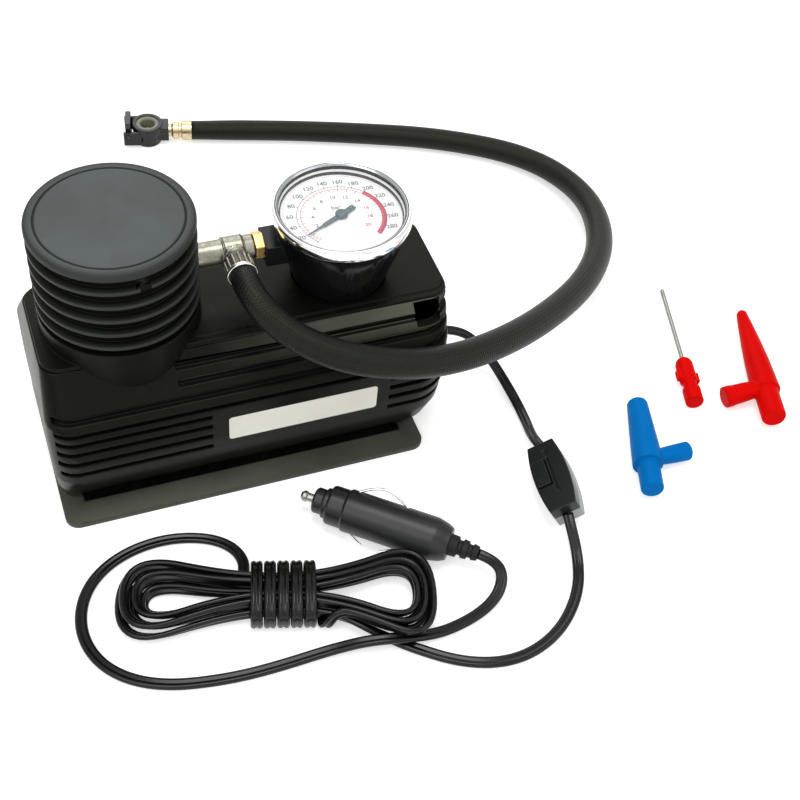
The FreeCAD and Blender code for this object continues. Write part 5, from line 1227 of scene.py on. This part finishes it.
def sticker_outline():
    """The sticker's corners, rounded, as seen on the front wall."""
    left, right = STICKER_LEFT + STICKER_CORNER, STICKER_RIGHT - STICKER_CORNER
    low, high = STICKER_LOW + STICKER_CORNER, STICKER_HIGH - STICKER_CORNER
    out = []
    for x, z, first in ((right, low, -90), (right, high, 0), (left, high, 90), (left, low, 180)):
        for step in range(CORNER_STEPS + 1):
            angle = math.radians(first + 90 * step / CORNER_STEPS)
            out.append((x + STICKER_CORNER * math.cos(angle), z + STICKER_CORNER * math.sin(angle)))
    return out


sticker = slab("blank_sticker", sticker_outline(), 0.0, STICKER_THICKNESS)
sticker.transform(Matrix.Translation((0, -FRONT_WALL, 0)) @ Matrix.Rotation(math.pi / 2, 4, "X"))
add_piece("blank_sticker", sticker, paper_cream, smooth=False)

# %% [markdown]
# ## Finishes of the CAD solids
# Solids whose shape is right as it is keep it, and only take a finish.
# %% CAD finishes
for material, names in (
        (rubber_black, ["base_foot_1", "base_foot_2", "base_foot_3", "base_foot_4",
                        "piston_seal", "cord_gland", "plug_relief"]),
        (steel, ["base_screw_1", "base_screw_2", "base_screw_3", "base_screw_4", "motor_can",
                 "armature", "pinion", "plug_tip", "needle_tube"]),
        (alloy, ["gearbox_frame", "cylinder_liner", "cylinder_head", "piston_rod"]),
        (housing_black, ["motor_endbell"]),
        (magnet_grey, ["motor_magnets"]),
        (nylon, ["drive_gear"]),
        (nickel, ["chuck_pin"]),
        (pale_brass, ["hose_end_fitting"]),
        (seal_olive, ["chuck_seal"]),
        (brass, ["gauge_movement"]),
        (chrome, ["plug_contact_front", "plug_contact_back"]),
        (dial_white, ["gauge_dial"]),
        (lens_clear, ["gauge_lens"])):
    print("%-16s on %s" % (material.name, ", ".join(names)))
    for name in names:
        slots = nodes[name].data.materials
        if not slots:
            slots.append(material)
        for i in range(len(slots)):
            slots[i] = material

# %% [markdown]
# ## Floor and light
# The floor and the air round the object are white to the camera and in mirror
# reflections, as in a photograph cut out on white, while the light that falls
# on rough surfaces stays low enough for a colour to come out as written. The
# light path tells the two apart. The floor still takes the object's shadow.
# %% Studio floor and air
FLOOR_GLOW, AIR_LIGHT, AIR_SEEN = 0.52, 0.36, 0.80
FLOOR_COLOR, FLOOR_ROUGHNESS, FLOOR_SHINE, FLOOR_HALF = (0.86, 0.86, 0.85, 1), 0.9, 0.1, 6


def seen_share(tree):
    """One for rays from the camera, a mirror or clear glass, nought for the rest."""
    path = tree.nodes.new("ShaderNodeLightPath").outputs
    direct = calculated(tree, "ADD", path["Is Camera Ray"], path["Is Glossy Ray"])
    return calculated(tree, "ADD", direct, path["Is Transmission Ray"], use_clamp=True)


floor_material = bpy.data.materials.new("studio white")
floor_material.use_nodes = True
floor_tree = floor_material.node_tree
floor_given = floor_tree.nodes["Principled BSDF"].inputs
for label, value in (("Base Color", FLOOR_COLOR), ("Roughness", FLOOR_ROUGHNESS),
                     ("Specular IOR Level", FLOOR_SHINE), ("Emission Color", (1, 1, 1, 1))):
    floor_given[label].default_value = value
floor_tree.links.new(calculated(floor_tree, "MULTIPLY", seen_share(floor_tree), FLOOR_GLOW),
                     floor_given["Emission Strength"])
floor_mesh = mesh_from("studio_floor", [
    (FLOOR_HALF * x, FLOOR_HALF * y, 0) for x, y in ((-1, -1), (1, -1), (1, 1), (-1, 1))],
    [(0, 1, 2, 3)])
floor_mesh.materials.append(floor_material)
placed("studio_floor", floor_mesh)

world = bpy.context.scene.world or bpy.data.worlds.new("studio")
bpy.context.scene.world = world
world.use_nodes = True
air = world.node_tree
air_given = air.nodes["Background"].inputs
air_given["Color"].default_value = (1, 1, 1, 1)
air.links.new(calculated(air, "MULTIPLY_ADD", seen_share(air), AIR_SEEN - AIR_LIGHT, AIR_LIGHT),
              air_given["Strength"])
print("floor glows %.2f, air lights %.2f and shows %.2f" % (FLOOR_GLOW, AIR_LIGHT, AIR_SEEN))

# %% [markdown]
# Five soft square lamps make the broad, weak shine of a light tent: one
# overhead, one on each side, one behind and a faint one low in front.
# %% Lamps
LIT_SPOT = Vector((0.07, 0.0, 0.03))
for name, place, size, watts in (
        ("overhead", (0.05, -0.05, 1.30), 0.55, 6.5), ("key", (-0.7, -0.5, 1.1), 0.8, 5.0),
        ("fill", (0.9, -0.7, 0.8), 0.9, 3.0), ("back", (0.2, 1.1, 0.9), 0.9, 4.5),
        ("front", (-0.15, -1.0, 0.45), 0.9, 1.2)):
    light = bpy.data.lights.new(name, "AREA")
    light.shape, light.size, light.energy = "SQUARE", size, watts
    lamp = placed(name, light)
    lamp.location = place
    lamp.rotation_euler = (LIT_SPOT - Vector(place)).to_track_quat("-Z", "Y").to_euler()
bpy.context.scene.view_settings.view_transform = "Standard"
print("lamps:", len(bpy.data.lights))
